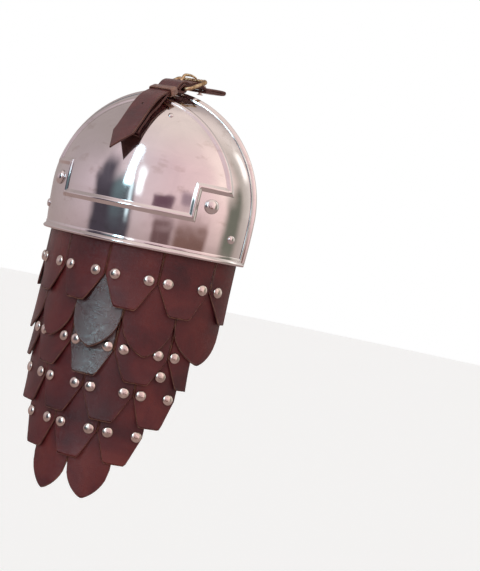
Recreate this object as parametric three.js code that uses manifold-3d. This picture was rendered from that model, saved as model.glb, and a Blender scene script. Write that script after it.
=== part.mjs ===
// A pauldron: a polished steel shoulder cap over a hanging skirt of riveted leather scales,
// with a leather strap and buckle on the crown that tie it to the neck piece of the armour.
//
// Millimetres. X points to the wearer's front, -Y outward from the shoulder, Z up. While the
// pieces are made, y = 0 is the plane of the cap's open rim and z = 0 is its bottom edge.
// The group is moved at the end, so that the origin is where the crown rests on the shoulder.
import * as THREE from 'three';
import { mergeVertices } from 'three/addons/utils/BufferGeometryUtils.js';
import Module from 'manifold-3d';

const wasm = await Module();
wasm.setup();

// Clearance between pieces that touch
const gap = 0.3;

// Steel cap: a quarter of a rounded ball, open below and toward the neck
const cap = {
  halfLength: 107.5,
  depth: 82,
  height: 154,
  widestAt: 46,
  tuck: 0.02,
  planPower: 1.18,
  archPower: 1.94,
  sheet: 1.2,
};
const rolledEdge = { radius: 2.4, sides: 6 };
const bead = { halfWidth: 2.9, height: 2.1, sink: 0.7 };
const panel = { bottom: 37.7, notchTop: 68, notchSide: 67.4, archOut: 32 };

// Where the crown rests on the shoulder, measured outward from the rim plane
const seatOut = 25;

// Leather skirt: layers of scales, each parallel to the one outside it
const skirt = {
  halfLength: 100.5,
  depth: 79,
  depthAt: -28.7,
  lean: 0.075,
  facets: 22,
  leather: 2.2,
  pitch: 2.5,
  slit: 0.4,
  closest: 0.6,
};

// One line for each row of scales, from the outermost layer to the innermost. Edges are
// distances round the skirt from its middle, for the half from the middle to the front. Flat is
// half the width of a clipped bottom edge, and a row without it has pointed leaves, with their
// tips at the given places. In a straight row, the scale at the end of the skirt is a plain strip.
const rows = [
  { row: 'a', top: 33, shoulder: -30, bottom: -59.5, edges: [0, 52, 105.5, 136], flat: 10.5, straight: true },
  { row: 'b', top: -20, shoulder: -66, bottom: -101.5, edges: [-26, 26, 78, 134], tips: [0, 54, 111] },
  { row: 'c', top: -20, shoulder: -100, bottom: -127.5, edges: [-25, 25, 80, 106], flat: 12, straight: true },
  { row: 'd', top: -90, shoulder: -139, bottom: -168, edges: [0, 54, 99], flat: 11.5 },
  { row: 'e', top: -131, shoulder: -178, bottom: -207, edges: [-26.5, 26.5, 74], flat: 11.5 },
  { row: 'f', top: -170, shoulder: -213, bottom: -244, edges: [0, 48.5], tips: [25] },
];

// Rows of small rivets: height, and places on the front half of the skirt. The upper two rows
// are pieces of their own, and the lower two are one with the scales that they come out of.
const rivetRows = [
  { row: 'a', z: -28.7, places: [10.2, 43, 61.5, 96.7, 115], separate: true },
  { row: 'c', z: -97.3, places: [18, 34.5, 69, 86.5], separate: true },
  { row: 'd', z: -138, places: [9, 44, 61.5, 90.5], separate: false },
  { row: 'e', z: -177.5, places: [17, 37, 67], separate: false },
];
const smallRivet = { head: 5.2, rise: 3, shank: 1.8, tail: 3.2, sides: 6 };
const cornerRivet = { head: 4, rise: 2.4, shank: 1.6, tail: 3, sides: 6 };
const crownRivet = { head: 2.6, rise: 1.4, shank: 1.2, tail: 2.2, sides: 6 };
const flatRivet = { head: 4, rise: 1, shank: 1.6, tail: 3, sides: 6 };
const bigRivet = { head: 7.3, rise: 4.6, shank: 2.4, tail: 5, sides: 10 };
const tailGap = 0.8;
const tailThickness = 1;

// Holes for the rivets, cut with a bar that is long enough to pass through every layer
const boreLength = 30;
const boreSides = 6;

// Steel rivets in the cap: distance to the front or back, and height or distance outward
const bigRivetPlace = { x: 80.5, z: 51.5 };
const cornerRivetPlace = { x: 98.5, z: 24 };
const crownRivetPlace = { x: 21, out: 46 };

// Strap, which crosses the crown on a line turned a little toward the back
const strap = { turn: 15, startX: 10, width: 25, leather: 2.4 };
const prongHole = { at: 7.5, halfWidth: 1.9, halfLength: 3.6 };
const chape = { length: 70, slotWidth: 6.4, slotLength: 13, rivetAt: 64 };
const keeper = { from: 25.5, length: 8.5, leather: 1.4 };
const buckle = { bar: 1.9, halfWidth: 17.5, corner: 5, barAt: [14, 160.5], farAt: [-12, 169.3], sides: 6 };
const prong = { radius: 1.5, eye: 3.9, halfWidth: 2.2 };

const steel = { name: 'polished steel', color: 0xd6cccb, metalness: 1, roughness: 0.12 };
const nickel = { name: 'nickel', color: 0xcfc9c4, metalness: 1, roughness: 0.25 };
const brass = { name: 'old brass', color: 0x9a7a52, metalness: 1, roughness: 0.4 };
const leather = { name: 'oxblood leather', color: 0x4a201c, metalness: 0, roughness: 0.45 };

const V = (x, y, z) => new THREE.Vector3(x, y, z);
const power = (value, p) => Math.sign(value) * Math.abs(value) ** p;
const lerp = THREE.MathUtils.lerp;
const degrees = THREE.MathUtils.degToRad;
const group = new THREE.Group();

// Closed mesh from stations along a path. Every station is a polygon with the same number of
// points, and the end caps join each point to its mirror in the list.
function loft(stations, closed = false) {
  const count = stations[0].length;
  const index = [];
  const spans = closed ? stations.length : stations.length - 1;
  const quad = (a, b, c, d) => index.push(a, b, c, a, c, d);
  for (let i = 0; i < spans; i++) {
    const here = i * count;
    const next = ((i + 1) % stations.length) * count;
    for (let j = 0; j < count; j++) {
      const k = (j + 1) % count;
      quad(here + j, next + j, next + k, here + k);
    }
  }
  if (!closed) {
    const last = (stations.length - 1) * count;
    for (let j = 0; j < count / 2 - 1; j++) {
      const k = count - 1 - j;
      quad(j, j + 1, k - 1, k);
      quad(last + k, last + k - 1, last + j + 1, last + j);
    }
  }
  const geometry = new THREE.BufferGeometry();
  geometry.setFromPoints(stations.flat());
  geometry.setIndex(index);
  return outwards(geometry);
}

// Shared vertices merged, flat triangles dropped, and every face turned outward
function outwards(source) {
  const bare = new THREE.BufferGeometry();
  bare.setAttribute('position', source.getAttribute('position'));
  if (source.index) bare.setIndex(source.index);
  const merged = mergeVertices(bare, 1e-3);
  const point = i => new THREE.Vector3().fromBufferAttribute(merged.getAttribute('position'), i);
  const kept = [];
  let volume = 0;
  for (let i = 0; i < merged.index.count; i += 3) {
    const [a, b, c] = [0, 1, 2].map(k => merged.index.getX(i + k));
    if (a === b || b === c || c === a) continue;
    kept.push([a, b, c]);
    volume += point(a).dot(point(b).cross(point(c)));
  }
  merged.setIndex(kept.flatMap(([a, b, c]) => (volume < 0 ? [a, c, b] : [a, b, c])));
  return merged;
}

function toSolid(geometry) {
  const mesh = new wasm.Mesh({
    numProp: 3,
    vertProperties: Float32Array.from(geometry.getAttribute('position').array),
    triVerts: Uint32Array.from(geometry.index.array),
  });
  return new wasm.Manifold(mesh);
}

// One geometry with others joined to it and cut from it
function combine(base, joined, removed = []) {
  let solid = toSolid(base);
  for (const piece of joined) solid = solid.add(toSolid(piece));
  for (const piece of removed) solid = solid.subtract(toSolid(piece));
  const mesh = solid.getMesh();
  const geometry = new THREE.BufferGeometry();
  geometry.setAttribute('position', new THREE.BufferAttribute(mesh.vertProperties, 3));
  geometry.setIndex(new THREE.BufferAttribute(mesh.triVerts, 1));
  return geometry;
}

function addPiece(name, geometry, look) {
  const mesh = new THREE.Mesh(geometry, new THREE.MeshStandardMaterial(look));
  mesh.name = name;
  group.add(mesh);
  return mesh;
}

// Share of the full plan outline that is left at a height of the cap
function narrowing(z) {
  if (z < cap.widestAt) return 1 - cap.tuck * ((cap.widestAt - z) / cap.widestAt) ** 2;
  const rise = Math.min((z - cap.widestAt) / (cap.height - cap.widestAt), 1);
  return (1 - rise ** cap.archPower) ** (1 / cap.archPower);
}

// Share of the full plan outline that passes through a point in plan
function planShare(x, y) {
  const p = 2 / cap.planPower;
  return ((Math.abs(x) / cap.halfLength) ** p + (Math.abs(y) / cap.depth) ** p) ** (1 / p);
}

function capHeight(x, y) {
  const share = planShare(x, y) ** cap.archPower;
  return lerp(cap.widestAt, cap.height, (1 - Math.min(share, 1)) ** (1 / cap.archPower));
}

function capDepth(x, z) {
  const p = 2 / cap.planPower;
  const share = narrowing(z);
  return cap.depth * share * (1 - Math.min(Math.abs(x) / (cap.halfLength * share), 1) ** p) ** (1 / p);
}

function capReach(out, z) {
  const p = 2 / cap.planPower;
  const share = narrowing(z);
  return cap.halfLength * share * (1 - Math.min(out / (cap.depth * share), 1) ** p) ** (1 / p);
}

// Outward direction of the cap's surface
function capNormal(p) {
  const step = 0.02;
  const f = (x, y, z) => planShare(x, y) - narrowing(z);
  const slope = (dx, dy, dz) => f(p.x + dx, p.y + dy, p.z + dz) - f(p.x - dx, p.y - dy, p.z - dz);
  return V(slope(step, 0, 0), slope(0, step, 0), slope(0, 0, step)).normalize();
}

// Upright line on the cap's skin, from its bottom edge to the crown
function capMeridian(angle, inset) {
  const low = [0, 23].map(z => ({ z, share: narrowing(z) }));
  const steps = 10;
  const high = Array.from({ length: steps + 1 }, (_, i) => {
    const t = (i / steps) * Math.PI / 2;
    const top = cap.height - inset;
    return {
      z: lerp(cap.widestAt, top, power(Math.sin(t), 2 / cap.archPower)),
      share: power(Math.cos(t), 2 / cap.archPower),
    };
  });
  return [...low, ...high].map(({ z, share }) => V(
    (cap.halfLength - inset) * share * power(Math.sin(angle), cap.planPower),
    -(cap.depth - inset) * share * power(Math.max(Math.cos(angle), 0), cap.planPower),
    z,
  ));
}

function capShell() {
  const steps = 26;
  const stations = Array.from({ length: steps + 1 }, (_, i) => {
    const angle = (i / steps - 0.5) * Math.PI;
    return [...capMeridian(angle, 0), ...capMeridian(angle, cap.sheet).reverse()];
  });
  stations[0].forEach(p => p.setY(0));
  stations[steps].forEach(p => p.setY(0));
  return loft(stations);
}

// Arch on the cap's skin in an upright plane, from the front at one height over to the back
function capArch(out, fromZ, steps) {
  const half = capReach(out, cap.widestAt);
  const low = [];
  for (let z = fromZ; z < cap.widestAt - 4; z += 14) low.push(V(capReach(out, z), -out, z));
  const start = Math.max(fromZ, cap.widestAt);
  const first = Math.asin(Math.min(capReach(out, start) / half, 1));
  const high = Array.from({ length: steps + 1 }, (_, i) => {
    const x = half * Math.sin(lerp(first, 0, i / steps));
    return V(x, -out, capHeight(x, out));
  });
  const front = [...low, ...high];
  const back = front.slice(0, -1).reverse().map(p => V(-p.x, p.y, p.z));
  return [...front, ...back];
}

// Closed moulding that follows a loop of points on the cap, mitred where the loop turns.
// The section is a list of distances across the moulding and out from the skin.
function moulding(points, section) {
  const clean = points.filter((p, i) => p.distanceTo(points[(i + 1) % points.length]) > 0.5);
  const stations = clean.map((p, i) => {
    const before = clean[(i + clean.length - 1) % clean.length];
    const after = clean[(i + 1) % clean.length];
    const arrive = p.clone().sub(before).normalize();
    const leave = after.clone().sub(p).normalize();
    const normal = capNormal(p);
    const sideways = normal.clone().cross(arrive.clone().add(leave)).normalize();
    const stretch = 1 / Math.max(sideways.dot(normal.clone().cross(arrive).normalize()), 0.5);
    return section.map(([across, out]) => p.clone()
      .addScaledVector(sideways, across * stretch)
      .addScaledVector(normal, out));
  });
  return loft(stations, true);
}

// Edge of the sheet rolled outward round a wire, along the bottom and up over the rim
function rolledRim() {
  const { radius, sides } = rolledEdge;
  const steps = 20;
  const bottom = Array.from({ length: steps + 1 }, (_, i) => {
    const x = capReach(radius, radius) * Math.sin((i / steps - 0.5) * Math.PI);
    return V(x, -Math.max(capDepth(x, radius), radius), radius);
  });
  const arch = capArch(radius, radius, 11);
  const section = Array.from({ length: sides }, (_, i) => {
    const angle = ((i + 0.5) / sides) * 2 * Math.PI;
    return [radius * Math.cos(angle), radius - cap.sheet / 2 + radius * Math.sin(angle)];
  });
  return moulding([...bottom, ...arch], section);
}

// Raised bead round the panel, with a square notch at both lower corners
function panelBead() {
  const { bottom, notchTop, notchSide, archOut } = panel;
  const onCap = (x, z) => V(x, -capDepth(x, z), z);
  const line = (from, to, steps) => Array.from({ length: steps }, (_, i) =>
    onCap(lerp(from[0], to[0], i / steps), lerp(from[1], to[1], i / steps)));
  const archX = capReach(archOut, notchTop);
  const points = [
    ...line([-notchSide, bottom], [notchSide, bottom], 11),
    ...line([notchSide, bottom], [notchSide, notchTop], 2),
    ...line([notchSide, notchTop], [archX, notchTop], 2),
    ...capArch(archOut, notchTop, 9),
    ...line([-archX, notchTop], [-notchSide, notchTop], 2).slice(1),
    ...line([-notchSide, notchTop], [-notchSide, bottom], 2),
  ];
  const { halfWidth, height, sink } = bead;
  const section = [
    [-halfWidth, -sink], [-halfWidth * 0.4, height], [halfWidth * 0.4, height], [halfWidth, -sink],
  ];
  return moulding(points, section);
}

// Domed rivet with its shank and closed tail. It points along +Y, with the head's flat at 0.
function rivetShape({ head, rise, shank, tail, sides }, grip) {
  const profile = [
    [0, rise], [head * 0.7, rise * 0.75], [head, 0], [shank, 0],
    [shank, -grip], [tail, -grip], [tail * 0.7, -grip - tailThickness], [0, -grip - tailThickness],
  ];
  return outwards(new THREE.LatheGeometry(profile.map(([r, y]) => new THREE.Vector2(r, y)), sides));
}

// Bar that cuts the hole for a rivet, wide enough to clear its shank all round
function bore({ shank }) {
  const radius = (shank + gap) / Math.cos(Math.PI / boreSides);
  return outwards(new THREE.CylinderGeometry(radius, radius, boreLength, boreSides));
}

// Matrix that puts a +Y shape at a point and turns it along a direction
function placing(point, direction) {
  const turn = new THREE.Quaternion().setFromUnitVectors(V(0, 1, 0), direction);
  return new THREE.Matrix4().compose(point, turn, V(1, 1, 1));
}

function addRivet(name, shape, point, direction, grip, look) {
  const mesh = addPiece(name, rivetShape(shape, grip), look);
  mesh.applyMatrix4(placing(point.clone().addScaledVector(direction, gap), direction));
}

// Skirt: corners of its faceted wall, spaced evenly round half an oval
function skirtCorners() {
  const fine = 600;
  const line = Array.from({ length: fine + 1 }, (_, i) => {
    const angle = (i / fine - 0.5) * Math.PI;
    return V(
      skirt.halfLength * power(Math.sin(angle), cap.planPower),
      -skirt.depth * power(Math.max(Math.cos(angle), 0), cap.planPower),
      0,
    );
  });
  const lengths = [0];
  for (let i = 1; i <= fine; i++) lengths.push(lengths[i - 1] + line[i].distanceTo(line[i - 1]));
  const total = lengths[fine];
  const corners = Array.from({ length: skirt.facets + 1 }, (_, k) => {
    const target = (k / skirt.facets) * total;
    const i = Math.min(lengths.findIndex(l => l >= target - 1e-9), fine);
    return line[i].clone();
  });
  return { corners, total };
}

const { corners: skirtLine, total: skirtLength } = skirtCorners();

function bendAt(k) {
  return (k / skirt.facets - 0.5) * skirtLength;
}

function facetOf(around) {
  const place = ((around + skirtLength / 2) / skirtLength) * skirt.facets;
  const k = THREE.MathUtils.clamp(Math.floor(place + 1e-9), 0, skirt.facets - 1);
  return { k, share: place - k };
}

function facetNormal(k) {
  const along = skirtLine[k + 1].clone().sub(skirtLine[k]).normalize();
  return along.clone().cross(V(0, -skirt.lean, -1)).normalize().negate();
}

// Distance from a point outside the skirt to the wall's inner face, against a direction
function reachThroughSkirt(point, direction) {
  const reaches = Array.from({ length: skirt.facets }, (_, k) => {
    const [start, end] = [k, k + 1].map(i => skirtPoint(bendAt(i), point.z, skirt.leather));
    const normal = facetNormal(k);
    const reach = point.clone().sub(start).dot(normal) / direction.dot(normal);
    const hit = point.clone().addScaledVector(direction, -reach).sub(start);
    const wall = end.sub(start);
    const share = hit.dot(wall) / wall.lengthSq();
    return reach > 0 && share > 0 && share < 1 ? reach : Infinity;
  });
  return Math.min(...reaches);
}

// Direction in which a corner moves when the wall is set in by 1 mm
function cornerOffset(k) {
  const flat = i => {
    const j = THREE.MathUtils.clamp(i, 0, skirt.facets - 1);
    const along = skirtLine[j + 1].clone().sub(skirtLine[j]).normalize();
    return V(along.y, -along.x, 0);
  };
  if (k === 0) return V(-1, 0, 0);
  if (k === skirt.facets) return V(1, 0, 0);
  const middle = flat(k - 1).add(flat(k)).normalize();
  return middle.divideScalar(middle.dot(flat(k)));
}

// Point of the skirt at a distance round it, a height, and a depth in from its outer face
function skirtPoint(around, z, inset) {
  const { k, share } = facetOf(around);
  const corner = i => skirtLine[i].clone().addScaledVector(cornerOffset(i), -inset);
  const p = corner(k).lerp(corner(k + 1), share);
  const outward = skirt.lean * (skirt.depthAt - z);
  return V(p.x, p.y - outward, z);
}

// Lower edge of a scale as points from its back edge to its front edge
function lowerEdge({ from, to, shoulder, bottom, flat, tip, straightBack, straightFront }) {
  if (flat !== undefined) {
    const middle = straightFront ? to : straightBack ? from : (from + to) / 2;
    const points = [];
    if (straightBack) points.push([from, bottom]);
    else points.push([from, shoulder], [middle - flat, bottom]);
    if (straightFront) points.push([to, bottom]);
    else points.push([middle + flat, bottom], [to, shoulder]);
    return points;
  }
  const leaf = [[1, 0], [0.88, 0.3], [0.52, 0.62], [0.22, 0.84], [0, 1]];
  const side = edge => leaf.map(([width, drop]) =>
    [lerp(tip, edge, width), lerp(shoulder, bottom, drop)]);
  return [...side(from), ...side(to).reverse().slice(1)];
}

// Height of a scale's lower edge at a distance round the skirt
function edgeHeight(edge, around) {
  const i = Math.max(edge.findIndex(([s]) => s >= around - 1e-6), 1);
  const [[s0, z0], [s1, z1]] = [edge[i - 1], edge[i]];
  return lerp(z0, z1, (around - s0) / (s1 - s0));
}

// Scale of leather, bent at the facets of the skirt
function scaleShape(scale) {
  const edge = lowerEdge(scale);
  const bends = skirtLine.map((_, k) => bendAt(k));
  const inside = bends.filter(s => s > scale.from && s < scale.to);
  const apart = inside.filter(s => edge.every(([e]) => Math.abs(e - s) > skirt.closest));
  const places = [...edge.map(([s]) => s), ...apart].sort((a, b) => a - b);
  const outer = scale.layer * skirt.pitch;
  const inner = outer + skirt.leather;
  return loft(places.map(s => {
    const low = edgeHeight(edge, s);
    return [
      skirtPoint(s, scale.top, outer), skirtPoint(s, low, outer),
      skirtPoint(s, low, inner), skirtPoint(s, scale.top, inner),
    ];
  }));
}

// Full list of scales: the front half of each row and its mirror at the back
function listScales() {
  const scales = [];
  rows.forEach(({ row, edges, tips, straight, ...rest }, layer) => {
    const half = edges.slice(1).map((to, i) => ({
      from: edges[i] + skirt.slit,
      to: to - skirt.slit,
      tip: tips?.[i],
      straightFront: Boolean(straight) && i === edges.length - 2,
    }));
    const mirrored = half.filter(s => s.from > 0).map(s => ({
      from: -s.to, to: -s.from, tip: -s.tip, straightBack: s.straightFront,
    }));
    [...mirrored.reverse(), ...half].forEach((s, i) =>
      scales.push({ name: `scale_${row}${i + 1}`, row, layer, ...rest, ...s }));
  });
  return scales;
}

// Rivets of the skirt, each with the scales that it passes through
function listRivets(scales) {
  const rivets = [];
  for (const { row, z, places, separate } of rivetRows) {
    const all = [...places.map(s => -s).reverse(), ...places];
    all.forEach((around, i) => {
      const held = scales.filter(s =>
        s.from < around && around < s.to && s.top > z && edgeHeight(lowerEdge(s), around) < z);
      rivets.push({ name: `rivet_${row}${i + 1}`, z, around, held, separate });
    });
  }
  return rivets;
}

function addSkirt(cornerBores) {
  const scales = listScales();
  const rivets = listRivets(scales);
  for (const rivet of rivets) {
    const layers = rivet.held.map(s => s.layer);
    const outer = Math.min(...layers);
    const inner = Math.max(...layers);
    rivet.owner = rivet.held.find(s => s.layer === outer);
    rivet.normal = facetNormal(facetOf(rivet.around).k);
    rivet.point = skirtPoint(rivet.around, rivet.z, outer * skirt.pitch);
    rivet.grip = (inner - outer) * skirt.pitch + skirt.leather + gap + tailGap;
  }
  for (const scale of scales) {
    const own = rivets.filter(r => !r.separate && r.owner === scale);
    const through = rivets.filter(r => r.held.includes(scale) && !own.includes(r));
    const sunk = r => r.point.clone().addScaledVector(r.normal, -gap);
    const heads = own.map(r => rivetShape(smallRivet, r.grip).applyMatrix4(placing(sunk(r), r.normal)));
    const bores = through.map(r => bore(smallRivet).applyMatrix4(placing(r.point, r.normal)));
    const ends = scale.row === 'a' ? cornerBores : [];
    addPiece(scale.name, combine(scaleShape(scale), heads, [...bores, ...ends]), leather);
  }
  for (const rivet of rivets.filter(r => r.separate)) {
    addRivet(rivet.name, smallRivet, rivet.point, rivet.normal, rivet.grip, nickel);
  }
}

// Steel rivets of the cap: shape, place, direction and length. The corner rivets go on through
// the scales at the ends of the skirt, and carry it.
function listCapRivets() {
  const rivets = [];
  for (const [side, sign] of [['front', 1], ['back', -1]]) {
    const { x: bigX, z: bigZ } = bigRivetPlace;
    const { x: cornerX, z: cornerZ } = cornerRivetPlace;
    const { x: crownX, out } = crownRivetPlace;
    const corner = V(sign * cornerX, -capDepth(cornerX, cornerZ), cornerZ);
    const places = [
      ['cap_rivet', bigRivet, V(sign * bigX, -capDepth(bigX, bigZ), bigZ), cap.sheet],
      ['corner_rivet', cornerRivet, corner, reachThroughSkirt(corner, capNormal(corner))],
      ['crown_rivet', crownRivet, V(sign * crownX, -out, capHeight(crownX, out)), cap.sheet],
    ];
    for (const [name, shape, point, depth] of places) {
      const grip = depth + gap + tailGap;
      rivets.push({ name: `${name}_${side}`, shape, point, normal: capNormal(point), grip });
    }
  }
  return rivets;
}

function addCap(bores) {
  const rivets = listCapRivets();
  const cuts = rivets.map(r => bore(r.shape).applyMatrix4(placing(r.point, r.normal)));
  addPiece('cap', combine(capShell(), [rolledRim(), panelBead()], [...cuts, ...bores]), steel);
  for (const r of rivets) addRivet(r.name, r.shape, r.point, r.normal, r.grip, steel);
}

// Strap line: distance out from the rim plane along the strap, height, and sideways place
const turn = degrees(strap.turn);
const strapAlong = V(-Math.sin(turn), -Math.cos(turn), 0);
const strapAcross = V(Math.cos(turn), -Math.sin(turn), 0);

function onStrapLine([out, z], across = 0) {
  return V(strap.startX, 0, z).addScaledVector(strapAlong, out).addScaledVector(strapAcross, across);
}

// Point a given height above the cap's highest place under the width of the strap
function aboveCap(out, height) {
  const skin = s => Math.max(...[-0.5, 0, 0.5].map(share => {
    const p = onStrapLine([s, 0], share * strap.width);
    return capHeight(p.x, p.y);
  }));
  const slope = (skin(out + 0.5) - skin(out - 0.5));
  const length = Math.hypot(1, slope);
  return [out - (slope / length) * height, skin(out) + height / length];
}

// Flat band along a path in the strap's upright plane, pointed at its far end if asked
function band(path, thickness, pointed = false) {
  return loft(path.map(([s, z], i) => {
    const half = pointed && i === path.length - 1 ? 0.5 : strap.width / 2;
    const [s0, z0] = path[Math.max(i - 1, 0)];
    const [s1, z1] = path[Math.min(i + 1, path.length - 1)];
    const length = Math.hypot(s1 - s0, z1 - z0);
    const rise = [(z0 - z1) / length, (s1 - s0) / length].map(n => (n * thickness) / 2);
    const corner = (side, across) => onStrapLine([s + rise[0] * side, z + rise[1] * side], across);
    return [corner(1, -half), corner(-1, -half), corner(-1, half), corner(1, half)];
  }));
}

// Point near the keeper: distance along the strap from the keeper's middle, height over the cap
function atKeeper(along, height) {
  const middle = keeper.from + keeper.length / 2;
  const [s0, z0] = aboveCap(middle, 0);
  const [s1, z1] = aboveCap(middle, 1);
  return [s0 + (s1 - s0) * height + (z1 - z0) * along, z0 + (z1 - z0) * height - (s1 - s0) * along];
}

// Heights of the middle of each layer of leather where the keeper holds them together
const chapeHeight = bead.height + 2 * gap + keeper.leather + strap.leather / 2;
const strapHeight = chapeHeight + strap.leather + gap;

// Short piece of leather riveted to the cap and folded round the buckle's bar
function addChape() {
  const [barS, barZ] = buckle.barAt;
  const fold = buckle.bar + 2 * gap + strap.leather / 2;
  const restingAt = s => aboveCap(s, strap.leather / 2 + gap + 0.1);
  const round = [270, 240, 210, 180, 150, 120, 90, 60].map(a =>
    [barS + fold * Math.cos(degrees(a)), barZ + fold * Math.sin(degrees(a))]);
  const resting = [];
  for (let s = chape.length; s > 49; s -= 3.5) resting.push(restingAt(s));
  const path = [
    ...resting, aboveCap(46.5, 2.1), aboveCap(41.5, 3.7),
    atKeeper(7, chapeHeight), atKeeper(-6, chapeHeight), ...round, [barS + 8.5, barZ - 2.6],
  ];
  const slot = outwards(new THREE.BoxGeometry(chape.slotWidth, chape.slotLength, boreLength));
  slot.rotateZ(-turn);
  const slotAt = onStrapLine([barS - 2, barZ]);
  slot.translate(slotAt.x, slotAt.y, slotAt.z);
  const head = aboveCap(chape.rivetAt, strap.leather + gap + 0.1);
  const foot = aboveCap(chape.rivetAt, 0);
  const point = onStrapLine(head);
  const direction = point.clone().sub(onStrapLine(foot)).normalize();
  const hole = bore(flatRivet).applyMatrix4(placing(point, direction));
  addPiece('chape', combine(band(path, strap.leather), [], [slot, hole]), leather);
  const grip = 2 * strap.leather + cap.sheet + tailGap;
  addRivet('chape_rivet', flatRivet, point, direction, grip, steel);
  return hole;
}

// Loop of leather round the chape and the strap
function addKeeper() {
  const half = strap.width / 2 + gap;
  const low = chapeHeight - strap.leather / 2 - gap;
  const high = strapHeight + strap.leather / 2 + gap;
  const reach = keeper.length / 2;
  const corners = [[-1, low, -1], [1, low, -1], [1, high, 1], [-1, high, 1]];
  const stations = corners.map(([side, height, up]) => {
    const outer = height + up * keeper.leather;
    const wide = side * (half + keeper.leather);
    return [
      onStrapLine(atKeeper(-reach, height), side * half), onStrapLine(atKeeper(-reach, outer), wide),
      onStrapLine(atKeeper(reach, outer), wide), onStrapLine(atKeeper(reach, height), side * half),
    ];
  });
  addPiece('keeper', loft(stations, true), leather);
}

// Strap from its doubled neck end, through the buckle and keeper, to its free point
function addStrap() {
  const [barS, barZ] = buckle.barAt;
  const [farS, farZ] = buckle.farAt;
  const under = farZ - buckle.bar - gap - strap.leather / 2;
  const over = barZ + buckle.bar + 4 * gap + 1.5 * strap.leather;
  const path = [
    [-20, 162.6], [-34, 164], [-50, 165.4], [-52.9, 166.2], [-53.6, 167.3], [-52.8, 168.2], [-50, 168.3],
    [-34, 167.1], [-20, 165.8], [farS, under], [-3, under + 0.2], [barS - 6, over - 0.6], [barS, over],
    [barS + 6, over - 2.2], atKeeper(-6.5, strapHeight), atKeeper(6, strapHeight),
    aboveCap(39.5, strapHeight + 0.8), [79.8, 104.6], [95, 87],
  ];
  const hole = outwards(new THREE.CylinderGeometry(1, 1, strap.leather * 5, 8));
  hole.rotateX(Math.PI / 2).scale(prongHole.halfWidth, prongHole.halfLength, 1).rotateZ(-turn);
  const holeAt = onStrapLine([prongHole.at, over]);
  hole.translate(holeAt.x, holeAt.y, holeAt.z);
  const [low, high] = [path[7], path[8]].map(p => onStrapLine(p));
  const direction = high.clone().sub(low).cross(strapAcross).normalize();
  const point = low.lerp(high, 0.55).addScaledVector(direction, strap.leather / 2);
  const rivetHole = bore(smallRivet).applyMatrix4(placing(point, direction));
  addPiece('strap', combine(band(path, strap.leather, true), [], [hole, rivetHole]), leather);
  addRivet('strap_rivet', smallRivet, point, direction, 2.5 * strap.leather + gap + tailGap, nickel);
}

// Rounded frame of bar, which slopes up toward the neck
function addBuckleFrame() {
  const { bar, halfWidth, corner, barAt, farAt, sides } = buckle;
  const toNeck = onStrapLine(farAt).sub(onStrapLine(barAt));
  const half = toNeck.length() / 2;
  const neck = toNeck.normalize();
  const middle = onStrapLine(barAt).add(onStrapLine(farAt)).multiplyScalar(0.5);
  const up = strapAcross.clone().cross(neck).normalize();
  const corners = [[1, 1, 0], [-1, 1, 90], [-1, -1, 180], [1, -1, 270]];
  const stations = corners.flatMap(([x, y, start]) => [0, 30, 60, 90].map(step => {
    const angle = degrees(start + step);
    const out = strapAcross.clone().multiplyScalar(Math.cos(angle)).addScaledVector(neck, Math.sin(angle));
    const centre = middle.clone()
      .addScaledVector(strapAcross, x * (halfWidth - corner))
      .addScaledVector(neck, y * (half - corner))
      .addScaledVector(out, corner);
    return Array.from({ length: sides }, (_, i) => {
      const round = ((i + 0.5) / sides) * 2 * Math.PI;
      return centre.clone()
        .addScaledVector(out, bar * Math.cos(round))
        .addScaledVector(up, bar * Math.sin(round));
    });
  }));
  addPiece('buckle_frame', loft(stations, true), brass);
}

// Prong: an eye round the buckle's bar and a pin through the strap onto the far bar
function addProng() {
  const [barS, barZ] = buckle.barAt;
  const [farS, farZ] = buckle.farAt;
  const top = farZ + buckle.bar + gap + prong.radius;
  const path = [
    [barS - 2.4, barZ + 1.8], [barS - 4.6, barZ + 4.2], [barS - 7.8, barZ + 9], [barS - 11.5, top - 1.4],
    [barS - 17, top - 0.1], [farS, top], [farS - 5, top - 1],
  ];
  const pin = loft(path.map(([s, z], i) => {
    const [s0, z0] = path[Math.max(i - 1, 0)];
    const [s1, z1] = path[Math.min(i + 1, path.length - 1)];
    const length = Math.hypot(s1 - s0, z1 - z0);
    const radius = i === path.length - 1 ? prong.radius * 0.6 : prong.radius;
    return Array.from({ length: 8 }, (_, k) => {
      const angle = ((k + 0.5) / 8) * 2 * Math.PI;
      const rise = radius * Math.sin(angle);
      return onStrapLine([s - ((z1 - z0) / length) * rise, z + ((s1 - s0) / length) * rise],
        radius * Math.cos(angle));
    });
  }));
  const eye = Array.from({ length: 14 }, (_, i) => {
    const angle = (i / 14) * 2 * Math.PI;
    const at = (radius, across) =>
      onStrapLine([barS + radius * Math.cos(angle), barZ + radius * Math.sin(angle)], across);
    const inner = buckle.bar + gap;
    return [
      at(inner, -prong.halfWidth), at(prong.eye, -prong.halfWidth),
      at(prong.eye, prong.halfWidth), at(inner, prong.halfWidth),
    ];
  });
  addPiece('buckle_prong', combine(pin, [loft(eye, true)]), brass);
}

const chapeBore = addChape();
const cornerBores = listCapRivets()
  .filter(r => r.name.startsWith('corner'))
  .map(r => bore(r.shape).applyMatrix4(placing(r.point, r.normal)));
addCap([chapeBore]);
addSkirt(cornerBores);
addKeeper();
addStrap();
addBuckleFrame();
addProng();

const seat = V(0, -seatOut, capHeight(0, seatOut) - cap.sheet);
group.position.copy(seat).negate();

export default group;
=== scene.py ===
# %% [markdown]
# # A pauldron of polished steel and oxblood leather
#
# This lesson dresses a piece of shoulder armour in Blender: a mirror bright steel cap, a skirt
# of riveted leather scales that hangs from it, and a strap with a buckle on its crown. The
# solids of every piece are already made at their real size, and they load as a fixed frame, so
# each dressed piece is built in the same place as the solid that it stands for.

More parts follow.
